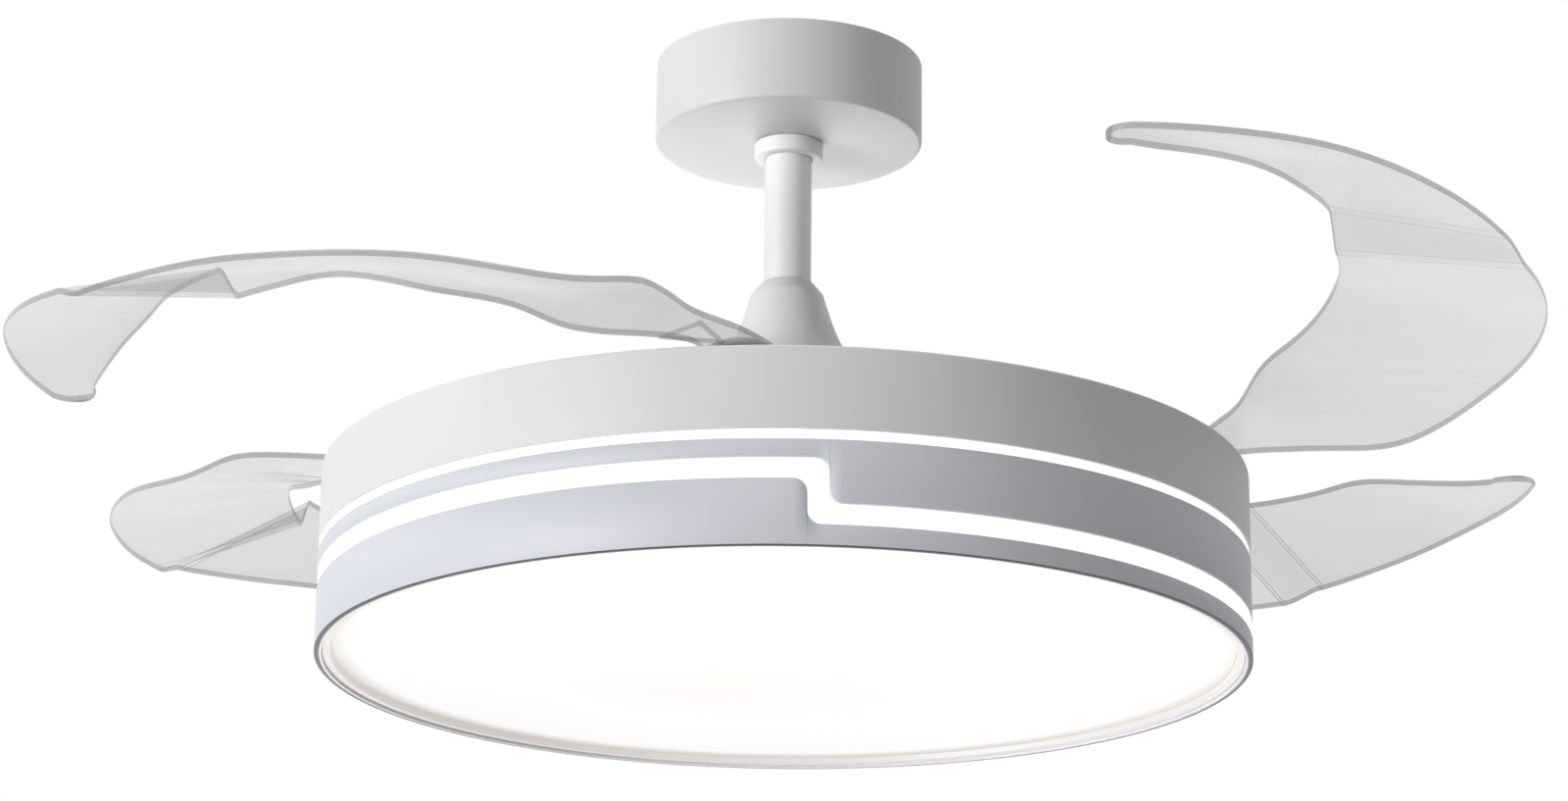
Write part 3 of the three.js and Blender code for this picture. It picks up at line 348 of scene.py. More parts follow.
@dataclass(frozen=True)
class TurnedMetal(Finish):
    """Bare metal with fine turning or brushing marks."""

    colour: Colour
    roughness: float = 0.32
    marks: Colour = (40.0, 40.0, 900.0)

    def feeds(self, bench: Bench) -> dict[str, Any]:
        """Metal whose roughness and normal follow the marks.

        Args:
            bench: Makes the nodes.

        Returns:
            The shader's inputs.
        """
        marks = bench.noise(1.0, 3.0, bench.stretched(self.marks))
        cloud = bench.noise(30.0, 3.0)
        return {"Base Color": bench.blend(self.colour, tinted(self.colour, 0.8), cloud),
                "Metallic": 1.0, "Roughness": self.roughness + 0.18 * (marks - 0.5),
                "Normal": bench.bump(marks, 0.00004, 0.5)}


@dataclass(frozen=True)
class MouldedPlastic(PaintedShell):
    """Plain moulded plastic with a fine spark-eroded grain."""

    roughness: float = 0.45
    shade: float = 0.93
    cloud: Point = (20.0, 2.0)
    grain: Point = (900.0, 2.0)
    grain_depth: float = 0.00004


@dataclass(frozen=True)
class WoundWire(Finish):
    """Enamelled copper wire, its turns shown as fine ridges."""

    colour: Colour = (0.58, 0.24, 0.1)
    turns: float = 260.0

    def feeds(self, bench: Bench) -> dict[str, Any]:
        """Copper with painted shade between the turns.

        Args:
            bench: Makes the nodes.

        Returns:
            The shader's inputs.
        """
        ridges = bench.add("ShaderNodeTexWave", {"wave_type": "RINGS", "rings_direction": "Z"},
                           {"Vector": bench.place(), "Scale": self.turns, "Distortion": 1.5}, 1)
        # Painted shade: the colour darkens with the ridge pattern, as shade between the turns.
        return {"Base Color": bench.blend(self.colour, tinted(self.colour, 0.6), ridges),
                "Metallic": 1.0, "Roughness": 0.3 + 0.2 * ridges,
                "Normal": bench.bump(ridges, 0.0003)}


@dataclass(frozen=True)
class FloorPaint(Finish):
    """Matt floor, pale to the camera and darker to the light that it throws back."""

    light: Colour = (0.9, 0.9, 0.9)
    worn: Colour = (0.86, 0.86, 0.86)
    dark: Colour = (0.25, 0.25, 0.25)
    lift: Colour = (0.42, 0.42, 0.42)

    def feeds(self, bench: Bench) -> dict[str, Any]:
        """Pale paint with a lift for camera and gloss, dark paint for all other rays.

        Args:
            bench: Makes the nodes.

        Returns:
            The shader's inputs.
        """
        seen = bench.seen_by("Is Camera Ray", "Is Glossy Ray")
        pale = bench.blend(self.light, self.worn, bench.noise(3.0, 2.0))
        return {"Base Color": bench.blend(self.dark, pale, seen), "Roughness": 0.9,
                "Emission Color": bench.blend((0.0, 0.0, 0.0), self.lift, seen),
                "Emission Strength": 1.0}


# Finishes kept on another's material slot: painted light and painted shade copies of the white
# paint, clear blade and silver shell, the holder's painted glow, and the real light band on the opal
# slot.
SHARED_SLOTS = {"BLADE_EDGE": "clear_blade", "ROD_PAINT": "white_paint", "LIT_RING": "opal",
                "LIGHT_BAND": "opal", "DARK_TRIM": "silver_shell"}


class Look(Enum):
    """The finishes of this fan, each under the name of its material slot."""

    WHITE_PAINT = "white_paint"
    WHITE_SHELL = "white_shell"
    SILVER_SHELL = "silver_shell"
    WHITE_ALUMINIUM = "white_aluminium"
    OPAL = "opal"
    CLEAR_BLADE = "clear_blade"
    BLADE_EDGE = "blade_edge_shade"
    ROD_PAINT = "rod_paint_painted_light"
    LIT_RING = "painted_holder_glow"
    LIGHT_BAND = "light_band"
    DARK_TRIM = "painted_foot_shade"
    WHITE_PLASTIC = "white_plastic"
    BOARD_WHITE = "board_white"
    BLACK_PLASTIC = "black_plastic"
    BRIGHT_STEEL = "bright_steel"
    ZINC_STEEL = "zinc_steel"
    DARK_STEEL = "dark_steel"
    CAST_ALUMINIUM = "cast_aluminium"
    COPPER_WIRE = "copper_wire"

    @property
    def slot(self) -> str:
        """The record's material slot that the finish belongs to."""
        return SHARED_SLOTS.get(self.name, self.value)


FINISHES: dict[Look, Finish] = {
    Look.WHITE_PAINT: PaintedShell((0.71, 0.692, 0.702)),
    # A lighter copy of the white paint for collar, rod and bell: its extra lightness is painted
    # light, making up for the drum's shade on them; its cooler tint is their paint's own tone.
    Look.ROD_PAINT: PaintedShell((0.8, 0.812, 0.826), 0.45),
    Look.WHITE_SHELL: PaintedShell((0.74, 0.74, 0.738), 0.55),
    Look.SILVER_SHELL: PaintedShell((0.66, 0.68, 0.73), 0.55),
    # Painted shade: a dark copy of the silver paint on the lower band's outer foot, standing in for
    # the shadow in the gap above the holder.
    Look.DARK_TRIM: PaintedShell((0.09, 0.088, 0.085)),
    Look.WHITE_ALUMINIUM: PaintedShell((0.72, 0.72, 0.72)),
    Look.OPAL: GlowingOpal(),
    # Painted light: the lamp holder glows, standing in for lamp light reflected on its inner wall.
    Look.LIT_RING: GlowingOpal(main=(0.42, 0.385, 0.36)),
    Look.LIGHT_BAND: GlowingOpal(rim=(0.92, 0.92, 0.905), main=(0.92, 0.92, 0.905)),
    Look.CLEAR_BLADE: ClearSheet((0.2, 0.202, 0.205), 0.25),
    # Painted shade: a darker, denser copy of the clear blade for its edge walls and fold creases,
    # standing in for the dark look refraction gives them.
    Look.BLADE_EDGE: ClearSheet((0.12, 0.122, 0.127), 0.55, streak=0.02),
    Look.WHITE_PLASTIC: MouldedPlastic((0.72, 0.72, 0.71)),
    Look.BOARD_WHITE: MouldedPlastic((0.75, 0.75, 0.73), roughness=0.6),
    Look.BLACK_PLASTIC: MouldedPlastic((0.03, 0.03, 0.032), roughness=0.5),
    Look.BRIGHT_STEEL: TurnedMetal((0.55, 0.56, 0.57)),
    Look.ZINC_STEEL: TurnedMetal((0.46, 0.48, 0.5), roughness=0.4, marks=(120.0, 30.0, 300.0)),
    Look.DARK_STEEL: TurnedMetal((0.12, 0.125, 0.13), roughness=0.5),
    Look.CAST_ALUMINIUM: TurnedMetal((0.5, 0.5, 0.51), roughness=0.45, marks=(300.0, 300.0, 300.0)),
    Look.COPPER_WIRE: WoundWire(),
}


@cache
def paint(look: Look) -> bpy.types.Material:
    """The material of a look, made on first use."""
    return FINISHES[look].build(look.value)


# ---- mesh making
def lifted(x: float, y: float, z: float) -> Vector:
    """A point in millimetres above the drum's foot, in the row frame's metres."""
    return Vector((x * 0.001, y * 0.001, DRUM_FOOT + z * 0.001))


def make_mesh(name: str, points: Iterable[Vector], faces: Iterable[Sequence[int]],
              slots: Sequence[bpy.types.Material], crease: float,
              parts: Sequence[int] | None = None) -> bpy.types.Object:
    """Makes a smooth-shaded mesh object with sharp creases.

    Args:
        name: The object's name.
        points: Vertices in metres.
        faces: Vertex numbers of each face.
        slots: The materials, in order.
        crease: Angle in degrees above which an edge stays sharp.
        parts: Material number of each face.

    Returns:
        The new object.
    """
    mesh = bpy.data.meshes.new(name)
    mesh.from_pydata([tuple(p) for p in points], [], [tuple(f) for f in faces])
    if parts is not None:
        mesh.polygons.foreach_set("material_index", list(parts))
    work = bmesh.new()
    work.from_mesh(mesh)
    bmesh.ops.remove_doubles(work, verts=work.verts, dist=1e-7)
    bmesh.ops.recalc_face_normals(work, faces=work.faces)
    work.to_mesh(mesh)
    work.free()
    for material in slots:
        mesh.materials.append(material)
    mesh.shade_smooth()
    mesh.set_sharp_from_angle(angle=math.radians(crease))
    piece = bpy.data.objects.new(name, mesh)
    bpy.context.scene.collection.objects.link(piece)
    return piece


def rounded(corners: Sequence[tuple[float, float, float]], steps: int = 4) -> list[Point]:
    """Rounds the corners of a closed outline.

    Args:
        corners: Radius, height and fillet of each corner; a fillet of 0 stays sharp.
        steps: Segments in each fillet.

    Returns:
        The outline's points.
    """
    outline: list[Point] = []
    count = len(corners)
    for i, (x, y, fillet) in enumerate(corners):
        here = Vector((x, y))
        if fillet <= 0:
            outline.append((x, y))
            continue
        before = Vector(corners[i - 1][:2]) - here
        after = Vector(corners[(i + 1) % count][:2]) - here
        reach = min(fillet, before.length * 0.49, after.length * 0.49)
        start = here + before.normalized() * reach
        end = here + after.normalized() * reach
        for k in range(steps + 1):
            t = k / steps
            spot = start * (1 - t) ** 2 + here * (2 * t * (1 - t)) + end * t ** 2
            outline.append((spot.x, spot.y))
    return outline


def own(piece: bpy.types.Object, body: str, look: Look, *nodes: str) -> None:
    """Lets a piece ride on a body and stand for CAD nodes.

    Args:
        piece: The new piece.
        body: The CAD body that carries it.
        look: Not used.
        *nodes: The CAD nodes it replaces.
    """
    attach(piece, body)
    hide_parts(*nodes)
    LOG.info("made %s in place of %s", piece.name, ", ".join(nodes))


@dataclass
class Lathe:
    """Turns the round pieces that ride on one body, about one upright axis."""

    body: str
    segments: int = 144
    centre: Point = (0.0, 0.0)

    def cut(self, name: str, outline: Sequence[Point], look: Look, node: str,
            crease: float = 32.0) -> None:
        """Revolves a closed outline and puts the piece in a CAD node's place.

        Args:
            name: The piece's name.
            outline: Radius and height of each point, in millimetres.
            look: Its finish.
            node: The CAD node it replaces.
            crease: Angle in degrees above which an edge stays sharp.
        """
        points, faces = [], []
        count = len(outline)
        for i in range(self.segments):
            angle = 2 * math.pi * i / self.segments
            here, ahead = i * count, (i + 1) % self.segments * count
            for j, (radius, height) in enumerate(outline):
                points.append(lifted(self.centre[0] + radius * math.cos(angle),
                                     self.centre[1] + radius * math.sin(angle), height))
                k = (j + 1) % count
                if radius == 0 and outline[k][0] == 0:
                    continue
                face = [here + j, ahead + j, ahead + k, here + k]
                if radius == 0:
                    face = [j, ahead + k, here + k]
                elif outline[k][0] == 0:
                    face = [here + j, ahead + j, k]
                faces.append(face)
        own(make_mesh(name, points, faces, [paint(look)], crease), self.body, look, node)


# ---- lamp drum
@dataclass
class LampDrum:
    """The round lamp: painted shell bands, light bands and the opal dish below."""

    radius: float = 250.0
    wall: float = 4.0
    height: float = 101.0
    slit_bottom: float = 53.8
    slit_height: float = 4.4
    light_height: float = 9.8
    light_high: float = 34.0
    light_low: float = 11.2
    step_offset: float = 11.0
    step_width: float = 10.0
    step_corner: float = 7.0
    seam: float = 0.3
    edge_round: float = 0.5
    painted_shade_width: float = 2.6
    light_inset: float = 0.35
    slit_inset: float = 0.8
    lip_width: float = 11.0
    lip_depth: float = 3.4
    dish_recess: float = 4.0
    dish_corner: float = 9.0
    dish_wall: float = 2.5
    dish_top: float = 23.7
    frame_gap: float = 1.6
    frame_wall: float = 3.0
    frame_foot: float = 1.5
    frame_top: float = 96.3
    ledge_width: float = 10.0
    ledge_height: float = 2.0
    low_ledge: float = 24.0
    high_ledge: float = 92.0
    foot_lip: float = 1.2
    stretch_steps: int = 96
    corner_steps: int = 8

    def _edge(self, high: float, low: float, offset: float) -> list[Point]:
        """Edge line round the drum with a step at the front and one at the back.

        Args:
            high: Height on the left half.
            low: Height on the right half.
            offset: Distance of the step from the front's middle.

        Returns:
            Distance round the drum and height of each point, for one full turn.
        """
        corner = self.step_corner
        turns = [math.pi / 2 * i / self.corner_steps for i in range(self.corner_steps + 1)]
        step = [(offset - corner * (1 - math.sin(a)), high - corner * (1 - math.cos(a)))
                for a in turns]
        step += [(offset + corner * (1 - math.cos(a)), low + corner * (1 - math.sin(a)))
                 for a in turns]
        half = math.pi * self.radius
        back = [(half - s, z) for s, z in reversed(step)]
        return [*step, *self._stretch(step[-1][0], back[0][0], low),
                *back, *self._stretch(back[-1][0], step[0][0] + 2 * half, high)]

    def _stretch(self, start: float, end: float, height: float) -> list[Point]:
        """Level points between two distances round the drum, ends left out."""
        steps = self.stretch_steps
        return [(start + (end - start) * i / steps, height) for i in range(1, steps)]

    def _level(self, height: float, like: Sequence[Point]) -> list[Point]:
        """A level edge line with as many points as another, spread evenly at the steps.

        Args:
            height: The line's height.
            like: The line that it will be joined to.

        Returns:
            Distance and height of each point.
        """
        count = 2 * (self.corner_steps + 1)
        level = [(s, height) for s, _ in like]
        for start in (0, count + self.stretch_steps - 1):
            first, last = like[start][0], like[start + count - 1][0]
            for i in range(count):
                level[start + i] = (first + (last - first) * i / (count - 1), height)
        return level

    def _band(self, name: str, node: str, lower: Sequence[Point], upper: Sequence[Point],
              look: Look, inset: float = 0.0, foot: Look | None = None) -> None:
        """Builds a curved wall between two edge lines, its outer edges softly rounded.

        Args:
            name: The piece's name.
            node: The CAD node it replaces.
            lower: Lower edge line.
            upper: Upper edge line.
            look: Its finish.
            inset: How far its face lies behind the drum's face.
            foot: Finish of the outer part of its lower edge, if that differs; on the lower band it
                is painted shade.
        """
        soft = self.edge_round
        outer = self.radius - inset
        inner = self.radius - self.wall
        loops = ((lower, inner, 0.0), (lower, outer - self.painted_shade_width, 0.0),
                 (lower, outer - soft, 0.0), (lower, outer, soft),
                 (upper, outer, -soft), (upper, outer - soft, 0.0), (upper, inner, 0.0))
        points = []
        for line, radius, shift in loops:
            count = len(line)
            for i, (distance, height) in enumerate(line):
                before, after = line[i - 1], line[(i + 1) % count]
                run = Vector((after[0] - before[0], after[1] - before[1]))
                if abs(run.x) > math.pi * self.radius:
                    run = Vector((1.0, 0.0))
                run.normalize()
                angle = -math.pi / 2 + (distance - run.y * shift) / self.radius
                points.append(lifted(radius * math.cos(angle), radius * math.sin(angle),
                                     height + run.x * shift))
        count = len(lower)
        faces, parts = [], []
        for k in range(len(loops)):
            n = (k + 1) % len(loops)
            for i in range(count):
                j = (i + 1) % count
                faces.append((k * count + i, k * count + j, n * count + j, n * count + i))
                # The outer faces of the lower edge take the foot finish: painted shade on the lower
                # band.
                parts.append(1 if foot and k in (1, 2) else 0)
        slots = [paint(each) for each in (look, foot) if each]
        own(make_mesh(name, points, faces, slots, 50.0, parts), "fixed", look, node)

    def bands(self) -> None:
        """Builds the lower, light and middle bands between the two stepped lines."""
        left, right, offset, seam = self.light_high, self.light_low, self.step_offset, self.seam
        low = self._edge(left, right, offset)
        under = self._edge(left - seam, right - seam, offset - seam)
        left, right, offset = (left + self.light_height, right + self.light_height,
                               offset + self.step_width)
        high = self._edge(left, right, offset)
        over = self._edge(left + seam, right + seam, offset + seam)
        self._band("light_band", "stepped_light_band", low, high, Look.LIGHT_BAND,
                   self.light_inset)
        # The lower band's outer foot is painted dark as painted shade.
        self._band("lower_band", "drum_lower_band", self._level(0.0, under), under,
                   Look.SILVER_SHELL, foot=Look.DARK_TRIM)
        self._band("middle_band", "drum_middle_band", over,
                   self._level(self.slit_bottom - seam, over), Look.SILVER_SHELL)

    def rings(self) -> None:
        """Builds the thin light ring and the tall upper ring with its top lip."""
        outer, inner = self.radius, self.radius - self.wall
        top = self.slit_bottom + self.slit_height
        lathe = Lathe("fixed")
        face = outer - self.slit_inset
        lathe.cut("thin_light", rounded([
            (inner, self.slit_bottom, 0), (face, self.slit_bottom, 0.4),
            (face, top, 0.4), (inner, top, 0)]), Look.LIGHT_BAND, "thin_light_ring")
        bottom, lip, edge = top + self.seam, self.height - self.lip_depth, outer - self.lip_width
        lathe.cut("upper_shell", rounded([
            (inner, bottom, 0), (outer, bottom, 0.5), (outer, self.height, 1.6),
            (edge, self.height, 0.8), (edge, lip, 0.4), (inner, lip, 1.0)]),
            Look.WHITE_SHELL, "drum_upper_ring")

    def inside(self) -> None:
        """Builds the opal dish and the frame that holds it, with its two ledges."""
        outer = self.radius - self.wall - self.frame_gap
        inner = outer - self.frame_wall
        dish = inner - self.seam
        low, high, corner, wall = self.dish_recess, self.dish_top, self.dish_corner, self.dish_wall
        lathe = Lathe("fixed")
        lathe.cut("opal_dish", [(0.0, low), *rounded([
            (dish, low, corner), (dish, high, 0.4), (dish - wall, high, 0.4),
            (dish - wall, low + wall, corner - wall)], 8), (0.0, low + wall)],
            Look.OPAL, "bottom_diffuser", 60.0)
        foot, top, lip = self.frame_foot, self.frame_top, outer + self.foot_lip
        ledges = []
        for level in (self.high_ledge, self.low_ledge):
            over = level + self.ledge_height
            ledges += [(inner, over, 0.5), (inner - self.ledge_width, over, 0.3),
                       (inner - self.ledge_width, level, 0.3), (inner, level, 0.5)]
        # The holder glows with painted light, standing in for lamp light reflected on it.
        lathe.cut("lamp_holder", rounded([
            (inner, foot, 0.8), (lip, foot, 0.3), (lip, foot + self.foot_lip, 0.3),
            (outer, foot + 1.7, 0.3), (outer, top, 0.3), (inner, top, 0.3), *ledges]),
            Look.LIT_RING, "lamp_frame")

    def build(self) -> None:
        """Builds every piece of the drum that shows."""
        self.bands()
        self.rings()
        self.inside()


# ---- suspension
@dataclass
class Suspension:
    """Canopy, collar, downrod and the bell over the coupling."""

    lathe: Lathe
    rod_radius: float = 13.0
    rod_wall: float = 1.8
    seat_gap: float = 0.3
    canopy_gap: float = 2.0
    canopy_radius: float = 74.0
    canopy_round: float = 2.6
    canopy_wall: float = 2.0
    collar_radius: float = 19.0
    neck_radius: float = 20.0
    mouth_radius: float = 46.0
    bell_wall: float = 2.0
    bell_chamfer: float = 7.0
    flare_steps: int = 24

    def _span(self, node: str) -> tuple[float, float]:
        """Lowest and highest level of a CAD node, in millimetres above the drum's foot."""
        low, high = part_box(node)
        return (low.z - DRUM_FOOT) * 1000, (high.z - DRUM_FOOT) * 1000

    def canopy(self) -> None:
        """Builds the canopy cup, open towards the ceiling."""
        low, high = self._span("canopy")
        outer, wall, hole = self.canopy_radius, self.canopy_wall, self.rod_radius + self.canopy_gap
        self.lathe.cut("canopy_cup", rounded([
            (hole, low, 0.5), (outer, low, self.canopy_round), (outer, high, 0.4),
            (outer - wall, high, 0.4), (outer - wall, low + wall, self.canopy_round - wall),
            (hole, low + wall, 0.4)]), Look.WHITE_PAINT, "canopy")

    def collar(self) -> None:
        """Builds the locking collar under the canopy."""
        low, high = self._span("canopy_collar")
        bore, outer = self.rod_radius + self.seat_gap, self.collar_radius
        self.lathe.cut("locking_collar", rounded([
            (bore, low, 0.3), (outer, low, 1.6), (outer, high, 0.5),
            (bore, high, 0.3)]), Look.ROD_PAINT, "canopy_collar")

    def rod(self) -> None:
        """Builds the downrod tube."""
        low, high = self._span("downrod")
        outer, inner = self.rod_radius, self.rod_radius - self.rod_wall
        self.lathe.cut("downrod_tube", rounded([
            (inner, low, 0.3), (outer, low, 0.4), (outer, high, 0.4), (inner, high, 0.3)]),
            Look.ROD_PAINT, "downrod")

    def bell(self) -> None:
        """Builds the bell: a chamfered shoulder, then a flare that opens faster downward."""
        low, high = self._span("bell_cover")
        neck = high - self.bell_chamfer
        outside = []
        for i in range(self.flare_steps + 1):
            t = i / self.flare_steps
            spread = 0.55 * t + 0.45 * t ** 4
            outside.append((self.neck_radius + (self.mouth_radius - self.neck_radius) * spread,
                            neck + (low - neck) * t))
        inside = [(r - self.bell_wall, z) for r, z in reversed(outside)]
        hole = self.rod_radius + self.seat_gap
        self.lathe.cut("bell", [(hole, high), (hole + 1.0, high), *outside, *inside,
                                (hole, high - self.bell_wall - 1)], Look.ROD_PAINT, "bell_cover")

    def build(self) -> None:
        """Builds every piece of the suspension that shows."""
        self.canopy()
        self.collar()
        self.rod()
        self.bell()


# ---- rotor
@dataclass
class RotorTop:
    """The turning plate and the domed cover over the motor."""

    cover_steps: int = 24
    cover_radius: float = 106.0
    cover_hole: float = 40.0
    cover_wall: float = 2.0
    cover_foot: float = 107.3
    shoulder: float = 140.0
    crown: float = 158.0
    plate_radius: float = 204.0
    plate_hole: float = 46.0
    plate_bottom: float = 104.0
    plate_top: float = 107.0
    bead_depth: float = 0.7
    bead_slope: float = 0.8
    bead_span: Point = (5.0, 10.0)

    def cover(self) -> None:
        """Builds the domed cover."""
        rim, hole, wall = self.cover_radius, self.cover_hole, self.cover_wall
        outside = [(rim, self.cover_foot)]
        for i in range(self.cover_steps + 1):
            a = math.pi / 2 * i / self.cover_steps
            outside.append((hole + (rim - hole) * math.cos(a),
                            self.shoulder + (self.crown - self.shoulder) * math.sin(a)))
        inside = [(max(r - wall, hole), z - wall) for r, z in reversed(outside[1:])]
        outline = [*outside, *inside, (rim - wall, self.cover_foot)]
        Lathe("rotor", 128).cut("motor_dome", outline, Look.WHITE_SHELL, "rotor_cover")

    def plate(self) -> None:
        """Builds the blade plate with a pressed bead near its rim."""
        outer, low, high = self.plate_radius, self.plate_bottom, self.plate_top
        start, end = (outer - reach for reach in self.bead_span)
        sunk, slope = high - self.bead_depth, self.bead_slope
        Lathe("rotor").cut("blade_plate", rounded([
            (self.plate_hole, low, 0.3), (outer, low, 0.6), (outer, high, 0.6),
            (start, high, 0.6), (start - slope, sunk, 0.5), (end + slope, sunk, 0.5),
            (end, high, 0.6), (self.plate_hole, high, 0.3)]),
            Look.WHITE_ALUMINIUM, "blade_carrier")

    def build(self) -> None:
        """Builds both pieces."""
        self.cover()
        self.plate()


# ---- blades
@dataclass
class BladeShape:
    """The folded blade, by angles clockwise from its pivot, in millimetres.

    Edges are distances outward from the pivot circle, rises lie above the root, and a pitch is
    the fall per length outward.
    """

    pivot_radius: float = 176.0
    outer_reach: float = 62.0
    thickness: float = 2.8
    lip: float = 0.25
    lip_width: float = 2.4
    bevel: float = 0.5
    side_gap: float = 0.2
    root_level: float = 118.0
    fold: Point = (104.5, 111.0)
    crease_width: float = 0.26
    root_radius: float = 24.0
    tip_radius: float = 13.0
    tip_angle: float = 164.0
    inner_edge: Line = ((0, -24), (12, -2), (26, -25), (40, -42), (55, -46), (75, -42),
                        (95, -37.5), (112, -29.5), (128, -22), (142, -13), (154, 10), (164, 36))
    outer_edge: Line = ((0, 24), (10, 30), (20, 34), (26, 46), (32, 60), (38, 62))
    root_rises: Line = ((6, 0), (18, 0.8), (30, 3), (42, 8), (60, 15), (80, 22.5), (95, 22.5),
                        (104.5, 22.5))
    tip_rises: Line = ((111, 36.5), (124, 40), (140, 43.5), (155, 39), (168, 28))
    root_pitches: Line = ((6, 0), (18, 0.01), (30, 0.03), (42, 0.19), (60, 0.18), (80, 0.24),
                          (104.5, 0.22))
    tip_pitches: Line = ((111, 0.34), (124, 0.29), (140, 0.25), (155, 0.17), (168, 0))
    rib_angles: Point = (9.0, 18.0)
    rib_margin: float = 4.0
    rib_depth: float = 1.2
    rib_sink: float = 0.4
    rib_taper: float = 0.8
    end_steps: int = 12
    steps: tuple[int, ...] = (40, 40, 1, 10, 1, 44)

    @staticmethod
    def _curve(pairs: Line, value: float) -> float:
        """Value at an angle on a smooth curve through pairs, level beyond its ends.

        Args:
            pairs: Angle and value of each guide point.
            value: The angle asked for.

        Returns:
            The value there.
        """
        last = len(pairs) - 1
        k = max(i for i in range(last) if pairs[i][0] <= value or i == 0)
        span = [pairs[max(k - 1, 0)], pairs[k], pairs[k + 1], pairs[min(k + 2, last)]]

        def along(t: float, axis: int) -> float:
            """One coordinate of the curve between the middle two guide points.

            Args:
                t: Share of the way, from 0 to 1.
                axis: 0 for the angle, 1 for the value.

            Returns:
                The coordinate.
            """
            p0, p1, p2, p3 = (p[axis] for p in span)
            v0, v1 = (p2 - p0) * 0.5, (p3 - p1) * 0.5
            return ((2 * p1 - 2 * p2 + v0 + v1) * t ** 3
                    + (-3 * p1 + 3 * p2 - 2 * v0 - v1) * t ** 2 + v0 * t + p1)
        low, high = 0.0, 1.0
        for _ in range(24):
            middle = (low + high) / 2
            if along(middle, 0) < value:
                low = middle
            else:
                high = middle
        return along((low + high) / 2, 1)

    def lay(self, angle: float) -> Point:
        """How the sheet lies at an angle.

        Args:
            angle: Degrees clockwise from the pivot.

        Returns:
            Height at the pivot circle, above the drum's foot, and fall per length outward.
        """
        t = min(max((angle - self.fold[0]) / (self.fold[1] - self.fold[0]), 0.0), 1.0)
        past = t * t * (3 - 2 * t)
        rise = ((1 - past) * self._curve(self.root_rises, angle)
                + past * self._curve(self.tip_rises, angle))
        pitch = ((1 - past) * self._curve(self.root_pitches, angle)
                 + past * self._curve(self.tip_pitches, angle))
        return self.root_level + rise, pitch

    def edges(self, angle: float) -> Point:
        """Inner and outer radius of the plan at an angle.

        Args:
            angle: Degrees clockwise from the pivot.

        Returns:
            The two radii.
        """
        centre, size, away = self.pivot_radius, self.root_radius, -angle
        if angle > self.tip_angle:
            centre = self.pivot_radius + self.outer_reach - self.tip_radius
            size, away = self.tip_radius, angle - self.tip_angle
        if away > 0:
            half = math.sqrt(max(size ** 2 - (math.radians(away) * centre) ** 2, 0.0))
            return centre - half, centre + half
        outer = (self._curve(self.outer_edge, angle) if angle < self.outer_edge[-1][0]
                 else self.outer_reach)
        return self.pivot_radius + self._curve(self.inner_edge, angle), self.pivot_radius + outer

    def stations(self) -> list[float]:
        """Angles at which the sheet is drawn, closest on the fold and the round ends.

        Returns:
            The angles, in degrees clockwise from the pivot.
        """
        root = math.degrees(self.root_radius / self.pivot_radius)
        tip = math.degrees(self.tip_radius
                           / (self.pivot_radius + self.outer_reach - self.tip_radius))
        count = self.end_steps
        angles = [-root * math.cos(math.pi / 2 * i / count) for i in range(count)]
        fine = self.crease_width / 2
        stops = (0.0, self.outer_edge[-1][0], self.fold[0] - fine, self.fold[0] + fine,
                 self.fold[1] - fine, self.fold[1] + fine, self.tip_angle)
        for start, end, steps in zip(stops, stops[1:], self.steps):
            angles += [start + (end - start) * i / steps for i in range(steps)]
        return angles + [self.tip_angle + tip * math.sin(math.pi / 2 * i / count)
                         for i in range(count + 1)]


